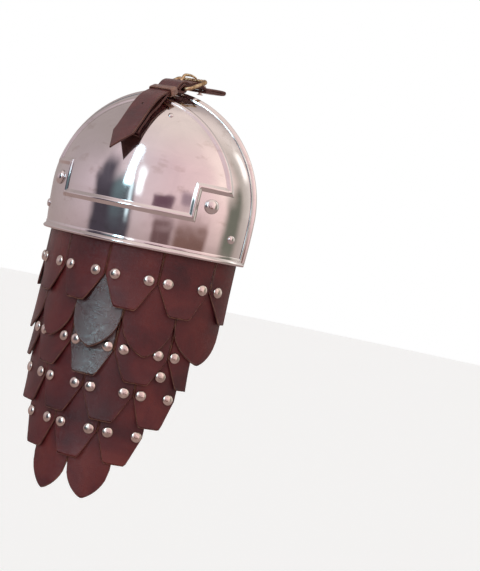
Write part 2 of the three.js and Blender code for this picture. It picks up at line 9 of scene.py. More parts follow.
# %% Load the frame
import math

import bpy
import numpy as np
from mathutils import Matrix, Vector


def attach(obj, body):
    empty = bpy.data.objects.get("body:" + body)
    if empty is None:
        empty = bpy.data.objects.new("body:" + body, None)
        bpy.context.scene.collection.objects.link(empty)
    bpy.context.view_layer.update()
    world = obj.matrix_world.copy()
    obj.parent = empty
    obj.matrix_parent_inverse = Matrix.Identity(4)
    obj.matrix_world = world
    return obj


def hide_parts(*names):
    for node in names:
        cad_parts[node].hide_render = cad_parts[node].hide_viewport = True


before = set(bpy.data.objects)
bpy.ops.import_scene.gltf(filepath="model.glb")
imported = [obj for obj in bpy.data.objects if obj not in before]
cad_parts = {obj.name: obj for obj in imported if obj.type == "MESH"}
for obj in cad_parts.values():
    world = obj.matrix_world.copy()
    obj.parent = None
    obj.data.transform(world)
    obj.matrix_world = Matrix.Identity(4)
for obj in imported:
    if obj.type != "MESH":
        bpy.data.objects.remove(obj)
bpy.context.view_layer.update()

print("solids in the frame:", len(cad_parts))

# %% [markdown]
# ## Where things are
#
# Armour is drawn in millimetres, and Blender works in metres, so the pieces are made in
# millimetres and scaled once, when their mesh is made. While they are made, y = 0 is the plane
# of the cap's open rim, and z = 0 is its bottom edge. The frame's origin is elsewhere, at the
# seat inside the crown that rests on the shoulder, so the same step moves each point to it. One
# function for both keeps every later formula short.

# %% Driving sizes of the cap, and the seat
MM = 0.001
CAP_HALF_LENGTH = 107.5
CAP_DEPTH = 82.0
CAP_HEIGHT = 154.0
WIDEST_AT = 46.0
TUCK = 0.02
# Powers of the outline in plan and of the arch. 2 is an ellipse, and 1 a diamond.
PLAN_POWER = 2 / 1.18
ARCH_POWER = 1.94
SHEET = 1.2
SEAT_OUT = 25.0

seat_rise = (1 - (SEAT_OUT / CAP_DEPTH) ** ARCH_POWER) ** (1 / ARCH_POWER)
seat_height = WIDEST_AT + (CAP_HEIGHT - WIDEST_AT) * seat_rise - SHEET
SEAT = np.array([0.0, -SEAT_OUT, seat_height])


def in_frame(points):
    """Millimetres from the rim plane and bottom edge, turned into metres in the frame."""
    return (np.asarray(points, float) - SEAT) * MM


print("seat height above the bottom edge:", round(seat_height, 2), "mm")

# %% [markdown]
# ## The camera
#
# The photograph looks at the shoulder from its front and outer side, a little from above, and
# the camera was held with a tilt, so the cap's bottom edge runs downhill in the picture. A
# camera could be aimed with a Track To constraint, but the tilt and the off-centre object make
# the matrix clearer: its three columns are the directions right, up and backward, and the turn
# that puts the object in the left half of the picture is applied last.

# %% Camera at the photograph's viewing angle
VIEW_AROUND = math.radians(22.85)
VIEW_UP = math.radians(1.64)
VIEW_ROLL = math.radians(11.38)
VIEW_DISTANCE = 1450.0
FOCAL_PIXELS = 1450.0
SENSOR_WIDTH = 36.0
PICTURE_WIDTH, PICTURE_HEIGHT = 480, 571
RIM_CENTRE_AT = (143.19, 246.09)

away = Vector((
    math.sin(VIEW_AROUND) * math.cos(VIEW_UP),
    -math.cos(VIEW_AROUND) * math.cos(VIEW_UP),
    math.sin(VIEW_UP),
))
right = Vector((0, 0, 1)).cross(away).normalized()
up = away.cross(right)
level = Matrix((right, up, away)).transposed().to_4x4()
shift_right = (RIM_CENTRE_AT[0] - PICTURE_WIDTH / 2) / FOCAL_PIXELS
shift_up = -(RIM_CENTRE_AT[1] - PICTURE_HEIGHT / 2) / FOCAL_PIXELS
aim = Vector((shift_right, shift_up, -1)).normalized()
turn = Vector((0, 0, -1)).rotation_difference(aim).to_matrix().to_4x4()
roll = Matrix.Rotation(VIEW_ROLL, 4, "Z")
facing = (turn @ roll.inverted() @ level.inverted()).inverted()

camera_data = bpy.data.cameras.new("camera")
camera_data.sensor_width = SENSOR_WIDTH
camera_data.lens = FOCAL_PIXELS * SENSOR_WIDTH / PICTURE_HEIGHT
camera = bpy.data.objects.new("camera", camera_data)
camera.matrix_world = Matrix.Translation(in_frame(away * VIEW_DISTANCE)) @ facing
bpy.context.scene.collection.objects.link(camera)
bpy.context.scene.camera = camera
bpy.context.scene.view_settings.view_transform = "Standard"
print("camera at", [round(v, 3) for v in camera.location], "lens", round(camera_data.lens, 1))

# %% [markdown]
# ## Floor
#
# The floor is a plain pale disc far below, and the sky is white where the camera sees it, so
# the piece stands out cleanly. The floor glows a little by itself. That keeps it pale without a
# strong light from above, which would burn out the polished steel. Mirrors don't see the floor:
# what the steel shows is set by the sky alone.

# %% Floor
FLOOR_Z = -0.75
FLOOR_RADIUS = 9.0
FLOOR_COLOUR = (0.80, 0.86, 0.865, 1)
FLOOR_GLOW = 0.33
FLOOR_ROUGHNESS = 0.9

floor_finish = bpy.data.materials.new("pale_floor")
floor_finish.use_nodes = True
floor_shader = floor_finish.node_tree.nodes["Principled BSDF"]
floor_shader.inputs["Roughness"].default_value = FLOOR_ROUGHNESS
floor_shader.inputs["Emission Strength"].default_value = FLOOR_GLOW
for socket_name in ("Base Color", "Emission Color"):
    floor_shader.inputs[socket_name].default_value = FLOOR_COLOUR


def once_round(steps):
    """Angles spread evenly once round a circle."""
    return np.linspace(0, 2 * math.pi, steps, endpoint=False)


floor_mesh = bpy.data.meshes.new("floor")
floor_ring = [(FLOOR_RADIUS * math.cos(a), FLOOR_RADIUS * math.sin(a), FLOOR_Z) for a in once_round(64)]
floor_mesh.from_pydata(floor_ring, [], [list(range(len(floor_ring)))])
floor_mesh.materials.append(floor_finish)
floor = bpy.data.objects.new("floor", floor_mesh)
floor.visible_glossy = False
bpy.context.scene.collection.objects.link(floor)
print("floor", -FLOOR_Z, "m below the seat")

# %% [markdown]
# ## Shader nodes in short
#
# Materials and the sky are made of nodes. Adding each one takes the same steps: make it, set its
# options, and fill its sockets with a value or with a link from another node. Two small helpers
# for that keep the finishes below readable, one for any node and one for a colour ramp.

# %% Node helpers


def add_node(tree, kind, settings=None, **values):
    """New shader node. Settings are its own properties, and values go to its input sockets.

    A socket is given by its name, or as i0, i1 and so on where the names repeat.
    """
    node = tree.nodes.new(kind)
    for key, value in (settings or {}).items():
        setattr(node, key, value)
    for key, value in values.items():
        by_number = key[0] == "i" and key[1:].isdigit()
        socket = node.inputs[int(key[1:])] if by_number else node.inputs[key.replace("_", " ")]
        if isinstance(value, bpy.types.NodeSocket):
            tree.links.new(value, socket)
        else:
            socket.default_value = value
    return node


def add_ramp(tree, factor, *stops):
    """Colour ramp. Each stop is a place from 0 to 1 and a grey value or a colour."""
    node = add_node(tree, "ShaderNodeValToRGB", Fac=factor)
    elements = node.color_ramp.elements
    while len(elements) < len(stops):
        elements.new(0.5)
    for element, (place, colour) in zip(elements, stops):
        element.position = place
        rgb = (colour,) * 3 if isinstance(colour, (int, float)) else colour
        element.color = (*rgb, 1)
    return node.outputs["Color"]


def add_math(tree, operation, *values):
    """Result of a sum on one, two or three values."""
    inputs = {f"i{i}": value for i, value in enumerate(values)}
    return add_node(tree, "ShaderNodeMath", {"operation": operation}, **inputs).outputs[0]


def add_mix(tree, factor, one, other, blend="MIX"):
    """Mix of two colours. Colour mixing uses the node's sockets 0, 6 and 7."""
    settings = {"data_type": "RGBA", "blend_type": blend}
    return add_node(tree, "ShaderNodeMix", settings, i0=factor, i6=one, i7=other).outputs[2]


print("node helpers:", [helper.__name__ for helper in (add_node, add_ramp, add_math, add_mix)])

# %% [markdown]
# ## The room in the steel
#
# Polished steel shows the room more than itself, so the room is part of the finish. A studio
# photographer hangs white and dark cloths round a metal object for the same reason. Here the
# sky does it: a soft pinkish grey that changes slowly round the object, and on it a few patches
# with soft borders. Each patch is a window or a dark cloth, given by its azimuth and elevation
# in degrees, its half width and half height, how soft its border is, and its colour. The two
# windows make the bright streaks down the cap, and the dark cloth beside them makes the deep
# band next to the streaks. Area lights would need hard edges, and patches in the sky do not.

# %% Sky
# Places from 0 to 1 stand for azimuths from -180 to 180 degrees. Azimuth 0 is straight outward.
ROOM_ROUND = (
    (0.00, (0.42, 0.36, 0.35)), (0.14, (0.44, 0.37, 0.36)), (0.24, (0.54, 0.45, 0.46)),
    (0.31, (0.70, 0.57, 0.61)), (0.50, (0.84, 0.69, 0.72)), (0.58, (0.88, 0.65, 0.67)),
    (0.67, (1.00, 0.74, 0.73)), (0.73, (1.12, 0.84, 0.79)), (0.80, (0.60, 0.53, 0.47)),
    (0.88, (0.92, 0.83, 0.77)), (1.00, (0.42, 0.36, 0.35)),
)
ROOM_TOP = (0.94, 0.80, 0.74, 1)
ROOM_BELOW = (0.40, 0.29, 0.27, 1)
PATCHES = [
    # azimuth, elevation, half width, half height, softness, colour
    (-33, -2, 27, 14, 4, (0.075, 0.062, 0.080, 1)),
    (-47, 15, 11, 10, 7, (0.11, 0.095, 0.12, 1)),
    (-25, 6, 9, 9, 7, (0.16, 0.22, 0.24, 1)),
    (-17, 27, 4.5, 16, 2.5, (5.2, 8.0, 8.9, 1)),
    (-11, 4, 1.6, 8, 2, (1.2, 1.5, 1.6, 1)),
    (-1, 15, 3.5, 10, 4, (2.3, 2.5, 2.6, 1)),
    (24, 3, 8, 4.5, 1.4, (0.17, 0.09, 0.12, 1)),
    (28, -8, 8, 5, 2, (0.18, 0.10, 0.10, 1)),
    (43, 7, 5, 6, 2.5, (0.40, 0.28, 0.32, 1)),
    (52, -9, 14, 6, 3, (0.24, 0.13, 0.11, 1)),
    (96, 6, 11, 17, 6, (0.20, 0.20, 0.16, 1)),
    (82, 34, 12, 20, 10, (1.25, 1.00, 0.92, 1)),
    (128, 35, 7, 8, 5, (1.8, 1.7, 1.6, 1)),
    (-118, 48, 58, 26, 14, (0.46, 0.39, 0.38, 1)),
]


def soft_patch(tree, azimuth, elevation, patch):
    """1 inside a patch of the sky and 0 outside, with a soft border."""
    at_azimuth, at_elevation, half_width, half_height, soft, _ = patch
    masks = []
    for angle, middle, half in ((azimuth, at_azimuth, half_width), (elevation, at_elevation, half_height)):
        away_from = add_math(tree, "ABSOLUTE", add_math(tree, "SUBTRACT", angle, float(middle)))
        mask = add_node(
            tree, "ShaderNodeMapRange", {"interpolation_type": "SMOOTHSTEP"}, Value=away_from,
            From_Min=half + soft, From_Max=max(half - soft, 0.0),
        )
        masks.append(mask.outputs["Result"])
    return add_math(tree, "MULTIPLY", *masks)


world = bpy.data.worlds.new("studio")
bpy.context.scene.world = world
world.use_nodes = True
sky = world.node_tree
sky.nodes.clear()
direction = add_node(sky, "ShaderNodeTexCoord").outputs["Generated"]
axes = add_node(sky, "ShaderNodeSeparateXYZ", Vector=direction).outputs
outward = add_math(sky, "MULTIPLY", axes["Y"], -1.0)
azimuth = add_math(sky, "DEGREES", add_math(sky, "ARCTAN2", axes["X"], outward))
elevation = add_math(sky, "DEGREES", add_math(sky, "ARCSINE", axes["Z"]))
share_round = add_math(sky, "MULTIPLY_ADD", azimuth, 1 / 360, 0.5)
room = add_ramp(sky, share_round, *ROOM_ROUND)
high = add_node(sky, "ShaderNodeMapRange", Value=elevation, From_Min=35.0, From_Max=75.0)
low = add_node(sky, "ShaderNodeMapRange", Value=elevation, From_Min=2.0, From_Max=-14.0)
room = add_mix(sky, high.outputs["Result"], room, ROOM_TOP)
room = add_mix(sky, low.outputs["Result"], room, ROOM_BELOW)
for patch in PATCHES:
    room = add_mix(sky, soft_patch(sky, azimuth, elevation, patch), room, patch[-1])
seen = add_node(sky, "ShaderNodeLightPath").outputs["Is Camera Ray"]
sky_colour = add_mix(sky, seen, room, (1, 1, 1, 1))
background = add_node(sky, "ShaderNodeBackground", Color=sky_colour, Strength=1.0)
add_node(sky, "ShaderNodeOutputWorld", Surface=background.outputs["Background"])
print("sky nodes:", len(sky.nodes), "patches:", len(PATCHES))

# %% [markdown]
# ## Polished steel
#
# The cap is bare steel, polished until it mirrors the room. A mirror in Blender is a metallic
# surface with a roughness close to zero. On its own that looks like liquid chrome, so faint
# marks are added: a low, wide unevenness that bends the reflections as hand-raised sheet does,
# soft smudges left by wiping, and hair-fine polishing lines. They only change the roughness
# and the bump by a little, because too much of either turns a mirror into brushed metal.

# %% Steel
STEEL_DULL = (0.74, 0.715, 0.72)
STEEL_BRIGHT = (0.82, 0.79, 0.79)
STEEL_STAIN = (0.55, 0.50, 0.47, 1)


def new_material(name, metallic, **values):
    """Material with a principled shader, whose even values are set on the shader itself."""
    material = bpy.data.materials.new(name)
    material.use_nodes = True
    shader = material.node_tree.nodes["Principled BSDF"]
    shader.inputs["Metallic"].default_value = metallic
    for key, value in values.items():
        shader.inputs[key.replace("_", " ")].default_value = value
    return material, material.node_tree, shader


def feed(shader, **sources):
    """Links what changes over a surface to the shader's sockets of those names."""
    for key, source in sources.items():
        shader.id_data.links.new(source, shader.inputs[key.replace("_", " ")])


def add_noise(tree, place, scale, detail=3.0, roughness=0.5, distortion=0.0):
    """Cloudy noise from 0 to 1. A larger scale gives smaller clouds."""
    node = add_node(
        tree, "ShaderNodeTexNoise", Vector=place, Scale=scale, Detail=detail,
        Roughness=roughness, Distortion=distortion,
    )
    return node.outputs["Fac"]


def add_bump(tree, height, strength, distance, normal=None):
    """Fine relief, on its own or on top of another one."""
    node = add_node(tree, "ShaderNodeBump", Height=height, Strength=strength, Distance=distance)
    if normal is not None:
        tree.links.new(normal, node.inputs["Normal"])
    return node.outputs["Normal"]


def stretched(tree, place, scale):
    """Coordinates squeezed by a different factor along each axis."""
    return add_node(tree, "ShaderNodeMapping", Vector=place, Scale=scale).outputs["Vector"]


def steel_material():
    material, tree, shader = new_material("polished_steel", 1.0)
    place = add_node(tree, "ShaderNodeTexCoord").outputs["Object"]
    smudge = add_noise(tree, place, 26, 4, 0.6, 0.8)
    tint = add_ramp(tree, smudge, (0.35, STEEL_DULL), (0.7, STEEL_BRIGHT))
    stain = add_noise(tree, stretched(tree, place, (1, 1, 1.8)), 46, 6, 0.62, 0.25)
    stained = add_ramp(tree, stain, (0.58, 0.0), (0.70, 0.5))
    tint = add_mix(tree, stained, tint, STEEL_STAIN)
    wipe = add_noise(tree, stretched(tree, place, (1, 1, 0.25)), 60, 4, 0.6, 1.2)
    roughness = add_ramp(tree, wipe, (0.40, 0.075), (0.62, 0.10), (0.78, 0.18))
    wave = add_noise(tree, place, 26, 2, 0.35)
    hairs = add_noise(tree, stretched(tree, place, (1, 1, 0.04)), 900, 2, 0.5)
    normal = add_bump(tree, wave, 0.8, 0.0009)
    normal = add_bump(tree, hairs, 0.015, 0.0001, normal)
    feed(shader, Base_Color=tint, Roughness=roughness, Normal=normal)
    return material


steel = steel_material()
print(steel.name, "has", len(steel.node_tree.nodes), "nodes")

# %% [markdown]
# ## Nickel and old brass
#
# The skirt's rivets are nickel plated, a little warmer and less perfect than the cap. The
# buckle is brass that has darkened in its corners and stays bright where it rubs. Pointiness,
# which Blender reads from the mesh, could drive that wear, but noise and a slow change of tone
# give it at this small size without needing a very dense mesh.

# %% Nickel and brass


def plated_material(name, dark, bright, rough_low, rough_high):
    """Metal between a dark and a bright tone, and between two roughnesses."""
    material, tree, shader = new_material(name, 1.0)
    place = add_node(tree, "ShaderNodeTexCoord").outputs["Object"]
    patina = add_noise(tree, place, 150, 5, 0.62, 0.5)
    specks = add_noise(tree, place, 700, 3, 0.6)
    feed(
        shader, Base_Color=add_ramp(tree, patina, (0.38, dark), (0.62, bright)),
        Roughness=add_ramp(tree, specks, (0.4, rough_low), (0.7, rough_high)),
        Normal=add_bump(tree, add_noise(tree, place, 420, 2), 0.12, 0.0003),
    )
    return material


nickel = plated_material("nickel_plate", (0.62, 0.55, 0.50), (0.86, 0.79, 0.74), 0.14, 0.26)
brass = plated_material("old_brass", (0.32, 0.21, 0.11), (0.80, 0.63, 0.40), 0.22, 0.40)
print(nickel.name, "and", brass.name)

# %% [markdown]
# ## Oxblood leather
#
# The scales are thick leather, dyed a dark red brown and waxed to a half gloss. Three things
# make leather read as leather: a fine pebbled grain, tone that drifts across each piece, and
# edges that differ from the face. The grain is a cell texture at under a millimetre. The drift
# comes from slow noise. For the edges, each leather mesh stores a value named near_edge, 1 at
# its rim and 0 inside, which the shader reads to lighten the worn corners. The cut rim and the
# rough back are materials of their own. Two scales have been waxed more than the others, and
# the strap is smoother, so the face is made by one function with a few values. The wax is the
# shader's coat, and the grain has to shape the coat as well, or the wax looks like glass.

# %% Leather
OXBLOOD_DARK = (0.046, 0.0056, 0.0085)
OXBLOOD = (0.092, 0.0095, 0.0112)
OXBLOOD_LIGHT = (0.150, 0.021, 0.0165)
CUT_EDGE = (0.115, 0.038, 0.026)
WORN_EDGE = (0.30, 0.145, 0.085)
SUEDE_DARK = (0.115, 0.058, 0.038)
SUEDE_LIGHT = (0.22, 0.125, 0.083)
COAT_ROUGHNESS = 0.27


def leather_face_material(name, specular, coat, dull, grain, tone):
    """Face of the leather: its shine, its wax, its dullness, depth of grain and depth of tone."""
    material, tree, shader = new_material(
        name, 0.0, Specular_IOR_Level=specular, Coat_Weight=coat, Coat_Roughness=COAT_ROUGHNESS,
    )
    place = add_node(tree, "ShaderNodeTexCoord").outputs["Object"]
    drift = add_noise(tree, place, 24, 4, 0.55, 0.4)
    base = add_ramp(tree, drift, (0.30, OXBLOOD_DARK), (0.52, OXBLOOD), (0.76, OXBLOOD_LIGHT))
    cells = add_node(tree, "ShaderNodeTexVoronoi", Vector=place, Scale=1150, Randomness=1)
    fine = add_noise(tree, place, 2300, 3, 0.6)
    mottle = add_ramp(tree, fine, (0.35, 0.78 * tone), (0.7, 1.14 * tone))
    toned = add_mix(tree, 1.0, base, mottle, "MULTIPLY")
    near_edge = add_node(tree, "ShaderNodeAttribute", {"attribute_name": "near_edge"}).outputs["Fac"]
    rubbed = add_math(tree, "MULTIPLY", near_edge, add_noise(tree, place, 130, 4, 0.65))
    worn = add_ramp(tree, rubbed, (0.24, 0.0), (0.56, 0.8))
    wax = add_noise(tree, place, 38, 3, 0.6, 0.6)
    creases = add_noise(tree, stretched(tree, place, (1, 1, 2.6)), 120, 5, 0.68, 2.2)
    crease_lines = add_ramp(tree, creases, (0.44, 1.0), (0.5, 0.0), (0.56, 1.0))
    pebble = add_noise(tree, place, 430, 5, 0.66, 0.8)
    normal = add_bump(tree, crease_lines, 0.30, 0.00025)
    normal = add_bump(tree, pebble, 0.75, 0.0006 * grain, normal)
    normal = add_bump(tree, cells.outputs["Distance"], 1.0, 0.00022 * grain, normal)
    normal = add_bump(tree, fine, 0.12, 0.0001, normal)
    feed(
        shader, Base_Color=add_mix(tree, worn, toned, (*WORN_EDGE, 1)),
        Roughness=add_ramp(tree, wax, (0.34, dull), (0.68, dull + 0.15)),
        Normal=normal, Coat_Normal=normal,
    )
    return material


def raw_leather_material(name, dark, light, roughness, scale):
    """Cut edge or rough back: bare fibre with no gloss."""
    material, tree, shader = new_material(name, 0.0, Roughness=roughness)
    place = add_node(tree, "ShaderNodeTexCoord").outputs["Object"]
    fibre = add_noise(tree, place, scale, 5, 0.7, 0.5)
    feed(
        shader, Base_Color=add_ramp(tree, fibre, (0.3, dark), (0.7, light)),
        Normal=add_bump(tree, fibre, 0.5, 0.0004),
    )
    return material


leather = leather_face_material("oxblood_leather", 0.34, 0.25, 0.30, 0.40, 0.95)
waxed_leather = leather_face_material("waxed_oxblood_leather", 1.0, 1.0, 0.20, 0.34, 0.42)
strap_leather = leather_face_material("strap_leather_finish", 0.6, 0.8, 0.34, 0.3, 1.05)
leather_edge = raw_leather_material("leather_cut_edge", OXBLOOD_DARK, CUT_EDGE, 0.55, 500)
suede = raw_leather_material("leather_rough_back", SUEDE_DARK, SUEDE_LIGHT, 0.85, 420)
for finish in (leather, waxed_leather, strap_leather, leather_edge, suede):
    print("leather material:", finish.name)

# %% [markdown]
# ## Shape of the cap
#
# The cap is raised from one sheet into a quarter of a rounded ball. Seen from above, its outline
# is a superellipse, a curve between an ellipse and a diamond, and every level of the cap is the
# same outline scaled by a share that falls to zero at the crown. A subdivided cage could give a
# similar shape, but a formula gives the exact surface and its exact normals, and on a mirror
# even a small error in the normals shows. A superellipse this full has a faint crease at its
# middle, so a soft curve takes over there.

# %% Surface of the cap
SOFT_MIDDLE = 0.24


def softened(u):
    """The superellipse's power of a distance, rounded off close to the middle."""
    u = np.abs(u)
    p, s = PLAN_POWER, SOFT_MIDDLE
    return np.where(u > s, u ** p, s ** p * (1 - p / 2) + p / 2 * s ** (p - 2) * u ** 2)


def outline_depth(u):
    """How far out the outline runs, for a distance along the rim. Both are shares."""
    return np.clip(1 - softened(u), 0, 1) ** (1 / PLAN_POWER)


def outline_reach(v):
    """The other way round: how far along the rim the outline is, for a distance out."""
    p, s = PLAN_POWER, SOFT_MIDDLE
    rest = 1 - np.clip(v, 0, 1) ** p
    near = np.sqrt(np.maximum(rest - s ** p * (1 - p / 2), 0) / (p / 2 * s ** (p - 2)))
    return np.where(rest > s ** p, rest ** (1 / p), near)


def share_at(z):
    """Share of the full outline that is left at a height."""
    z = np.asarray(z, float)
    low = 1 - TUCK * ((WIDEST_AT - z) / WIDEST_AT) ** 2
    rise = np.clip((z - WIDEST_AT) / (CAP_HEIGHT - WIDEST_AT), 0, 1)
    return np.where(z < WIDEST_AT, low, (1 - rise ** ARCH_POWER) ** (1 / ARCH_POWER))


def share_of(x, out):
    """Share of the outline that passes through a point in plan, found by halving."""
    x, out = np.abs(np.asarray(x, float)), np.maximum(np.asarray(out, float), 0)
    low, high = np.full(np.broadcast(x, out).shape, 1e-4), np.full(np.broadcast(x, out).shape, 1.5)
    for _ in range(40):
        k = (low + high) / 2
        inside = softened(x / (CAP_HALF_LENGTH * k)) + (out / (CAP_DEPTH * k)) ** PLAN_POWER < 1
        high = np.where(inside, k, high)
        low = np.where(inside, low, k)
    return (low + high) / 2


def cap_height(x, out):
    """Height of the cap over a place in plan."""
    share = np.minimum(share_of(x, out), 1)
    return WIDEST_AT + (CAP_HEIGHT - WIDEST_AT) * (1 - share ** ARCH_POWER) ** (1 / ARCH_POWER)


def cap_depth(x, z):
    """Distance from the rim plane out to the cap."""
    share = share_at(z)
    return CAP_DEPTH * share * outline_depth(np.minimum(np.abs(x) / (CAP_HALF_LENGTH * share), 1))


def cap_reach(out, z):
    """Distance from the cap's middle to its front or back."""
    share = share_at(z)
    return CAP_HALF_LENGTH * share * outline_reach(np.minimum(out / (CAP_DEPTH * share), 1))


def unit(vectors):
    """The same directions with a length of one."""
    return vectors / np.maximum(np.linalg.norm(vectors, axis=-1, keepdims=True), 1e-12)


def cap_normal(points):
    """Outward directions of the cap's surface at points on it."""
    step = 0.02
    points = np.atleast_2d(points)

    def level(p):
        return share_of(p[:, 0], -p[:, 1]) - share_at(p[:, 2])

    slopes = [level(points + d) - level(points - d) for d in np.eye(3) * step]
    return unit(np.stack(slopes, axis=1))


print("cap is", round(float(cap_depth(0, WIDEST_AT)), 1), "mm deep at its middle")

# %% [markdown]
# ## From points to pieces
#
# Every piece below ends in the same few steps: points and faces become a mesh, the mesh gets
# its materials, and the new object is tied to the frame. Riding on the body keeps it with the
# part, and naming the solids that it replaces hides them.

# %% Piece builder


def grid_faces(rows, columns, wrap_rows=False, wrap_columns=False):
    """Quads between the points of a grid, listed row by row."""
    faces = []
    for i in range(rows if wrap_rows else rows - 1):
        for j in range(columns if wrap_columns else columns - 1):
            a, b = i * columns + j, i * columns + (j + 1) % columns
            c, d = ((i + 1) % rows) * columns + (j + 1) % columns, ((i + 1) % rows) * columns + j
            faces.append((a, b, c, d))
    return faces


def add_piece(name, points, faces, materials, replaced=(), sharp=None, face_materials=None,
              near_edge=None, normals=None):
    """Piece from points in millimetres, tied to the body and put in the place of its solids."""
    mesh = bpy.data.meshes.new(name)
    mesh.from_pydata(in_frame(points).tolist(), [], [tuple(int(i) for i in f) for f in faces])
    for material in materials:
        mesh.materials.append(material)
    if face_materials is not None:
        mesh.polygons.foreach_set("material_index", np.asarray(face_materials, np.int32))
    if near_edge is not None:
        layer = mesh.attributes.new("near_edge", "FLOAT", "POINT")
        layer.data.foreach_set("value", np.asarray(near_edge, np.float32))
    mesh.shade_smooth()
    if sharp is not None:
        mesh.set_sharp_from_angle(angle=math.radians(sharp))
    if normals is not None:
        mesh.normals_split_custom_set_from_vertices(normals.tolist())
    mesh.validate()
    piece = bpy.data.objects.new(name, mesh)
    bpy.context.scene.collection.objects.link(piece)
    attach(piece, "root")
    if replaced:
        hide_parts(*replaced)
    return piece


print("a grid of 3 by 3 points has", len(grid_faces(3, 3)), "faces")

# %% [markdown]
# ## The cap's sheet
#
# The sheet is a grid: columns spread evenly round the outline, and levels from the bottom edge
# to the crown, where all the columns meet in one point. The same grid set in by the thickness
# of the steel is the inside, and a strip along the border joins the two, so the cap is a real
# thin shell and not a surface without thickness. The exact normals go in as custom normals.

# %% Cap shell
CAP_COLUMNS = 181
LOW_LEVELS = 14
HIGH_LEVELS = 72
OUTLINE_STEPS = 4000
NORMAL_REACH = 0.6


def run_lengths(line):
    """Distance from the start of a line to each of its points."""
    return np.concatenate([[0], np.cumsum(np.linalg.norm(np.diff(line, axis=0), axis=1))])


def at_lengths(wanted, lengths, values):
    """Pairs of values, read off between a line's points at the wanted distances along it."""
    return np.stack([np.interp(wanted, lengths, values[:, i]) for i in range(2)], axis=-1)


def fine_outline(half_length, depth):
    """Close points along an outline from back to front, and how far along it they are."""
    angle = np.linspace(-math.pi / 2, math.pi / 2, OUTLINE_STEPS + 1)
    x = np.sign(np.sin(angle)) * np.abs(np.sin(angle)) ** (2 / PLAN_POWER)
    line = np.stack([half_length * x, -depth * outline_depth(x)], axis=1)
    return line, run_lengths(line)


def even_outline(columns):
    """Points spread evenly along the cap's outline from back to front, with their normals."""
    line, lengths = fine_outline(CAP_HALF_LENGTH, CAP_DEPTH)
    wanted = np.linspace(0, lengths[-1], columns)
    points = at_lengths(wanted, lengths, line)
    ahead = at_lengths(wanted + NORMAL_REACH, lengths, line)
    along = ahead - at_lengths(wanted - NORMAL_REACH, lengths, line)
    normal = unit(np.stack([along[:, 1], -along[:, 0]], axis=1))
    normal[0], normal[-1] = (-1, 0), (1, 0)
    points[0, 1] = points[-1, 1] = 0
    return points, normal


def add_cap_shell():
    columns = CAP_COLUMNS
    outline, flat_normal = even_outline(columns)
    t = np.linspace(0, math.pi / 2, HIGH_LEVELS + 1)[:-1]
    high = WIDEST_AT + (CAP_HEIGHT - WIDEST_AT) * np.sin(t) ** (2 / ARCH_POWER)
    z = np.concatenate([np.linspace(0, WIDEST_AT, LOW_LEVELS, endpoint=False), high])
    share = share_at(z)
    slope = (share_at(z + 0.01) - share_at(z - 0.01)) / 0.02
    outer = np.empty((len(z), columns, 3))
    outer[:, :, :2] = outline[None] * share[:, None, None]
    outer[:, :, 2] = z[:, None]
    normal = np.empty_like(outer)
    normal[:, :, :2] = flat_normal[None]
    normal[:, :, 2] = -slope[:, None] * (outline * flat_normal).sum(1)[None]
    normal = unit(normal)
    outer = np.concatenate([outer.reshape(-1, 3), [(0, 0, CAP_HEIGHT)]])
    normal = np.concatenate([normal.reshape(-1, 3), [(0, 0, 1)]])
    inner = outer - normal * SHEET
    inner[:, 1] = np.minimum(inner[:, 1], 0)
    count, pole = len(outer), len(outer) - 1
    faces = grid_faces(len(z), columns)
    last = (len(z) - 1) * columns
    faces += [(last + j, last + j + 1, pole) for j in range(columns - 1)]
    inside = [tuple(i + count for i in reversed(face)) for face in faces]
    up_front = [i * columns + columns - 1 for i in range(1, len(z))]
    down_back = [i * columns for i in range(len(z) - 1, 0, -1)]
    border = list(range(columns)) + up_front + [pole] + down_back
    strip = [(b, a, a + count, b + count) for a, b in zip(border, border[1:] + border[:1])]
    return add_piece(
        "cap_shell", np.concatenate([outer, inner]), faces + inside + strip, [steel],
        replaced=["cap"], normals=np.concatenate([normal, -normal]),
    )


cap_shell = add_cap_shell()
print(cap_shell.name, "has", len(cap_shell.data.polygons), "faces")

# %% [markdown]
# ## Lines that lie on the cap
#
# The rolled rim and the raised bead both follow a line on the cap, so one sweep makes them: a
# section is carried along the line, turned with the surface, and mitred where the line has a
# corner. A bevelled curve could do the round parts, but it can't keep its foot flat on a curved
# sheet.

# %% Sweeps on the cap
CLOSEST_POINTS = 0.3
MITRE_LIMIT = 0.5
# About how much longer half an arch is than its half width.
ARCH_LONGER = 1.3


def arch_on_cap(out, from_z, spacing):
    """Line over the cap at a distance from the rim plane, from the front to the back."""
    low = np.arange(from_z, WIDEST_AT - 1, spacing)
    front = [np.stack([cap_reach(out, low), np.full(len(low), -out), low], axis=1)]
    start = max(from_z, WIDEST_AT)
    half = float(cap_reach(out, WIDEST_AT))
    first = math.asin(min(float(cap_reach(out, start)) / half, 1))
    steps = int(half * ARCH_LONGER / spacing)
    x = half * np.sin(np.linspace(first, 0, steps + 1))
    front.append(np.stack([x, np.full(len(x), -out), cap_height(x, out)], axis=1))
    front = np.concatenate(front)
    return np.concatenate([front, front[-2::-1] * (-1, 1, 1)])


def line_on_cap(x0, z0, x1, z1, spacing=2.0):
    """Line on the cap that is straight as seen from outside. Its end is left out."""
    count = max(int(math.hypot(x1 - x0, z1 - z0) / spacing), 1)
    x = np.linspace(x0, x1, count, endpoint=False)
    z = np.linspace(z0, z1, count, endpoint=False)
    return np.stack([x, -cap_depth(x, z), z], axis=1)


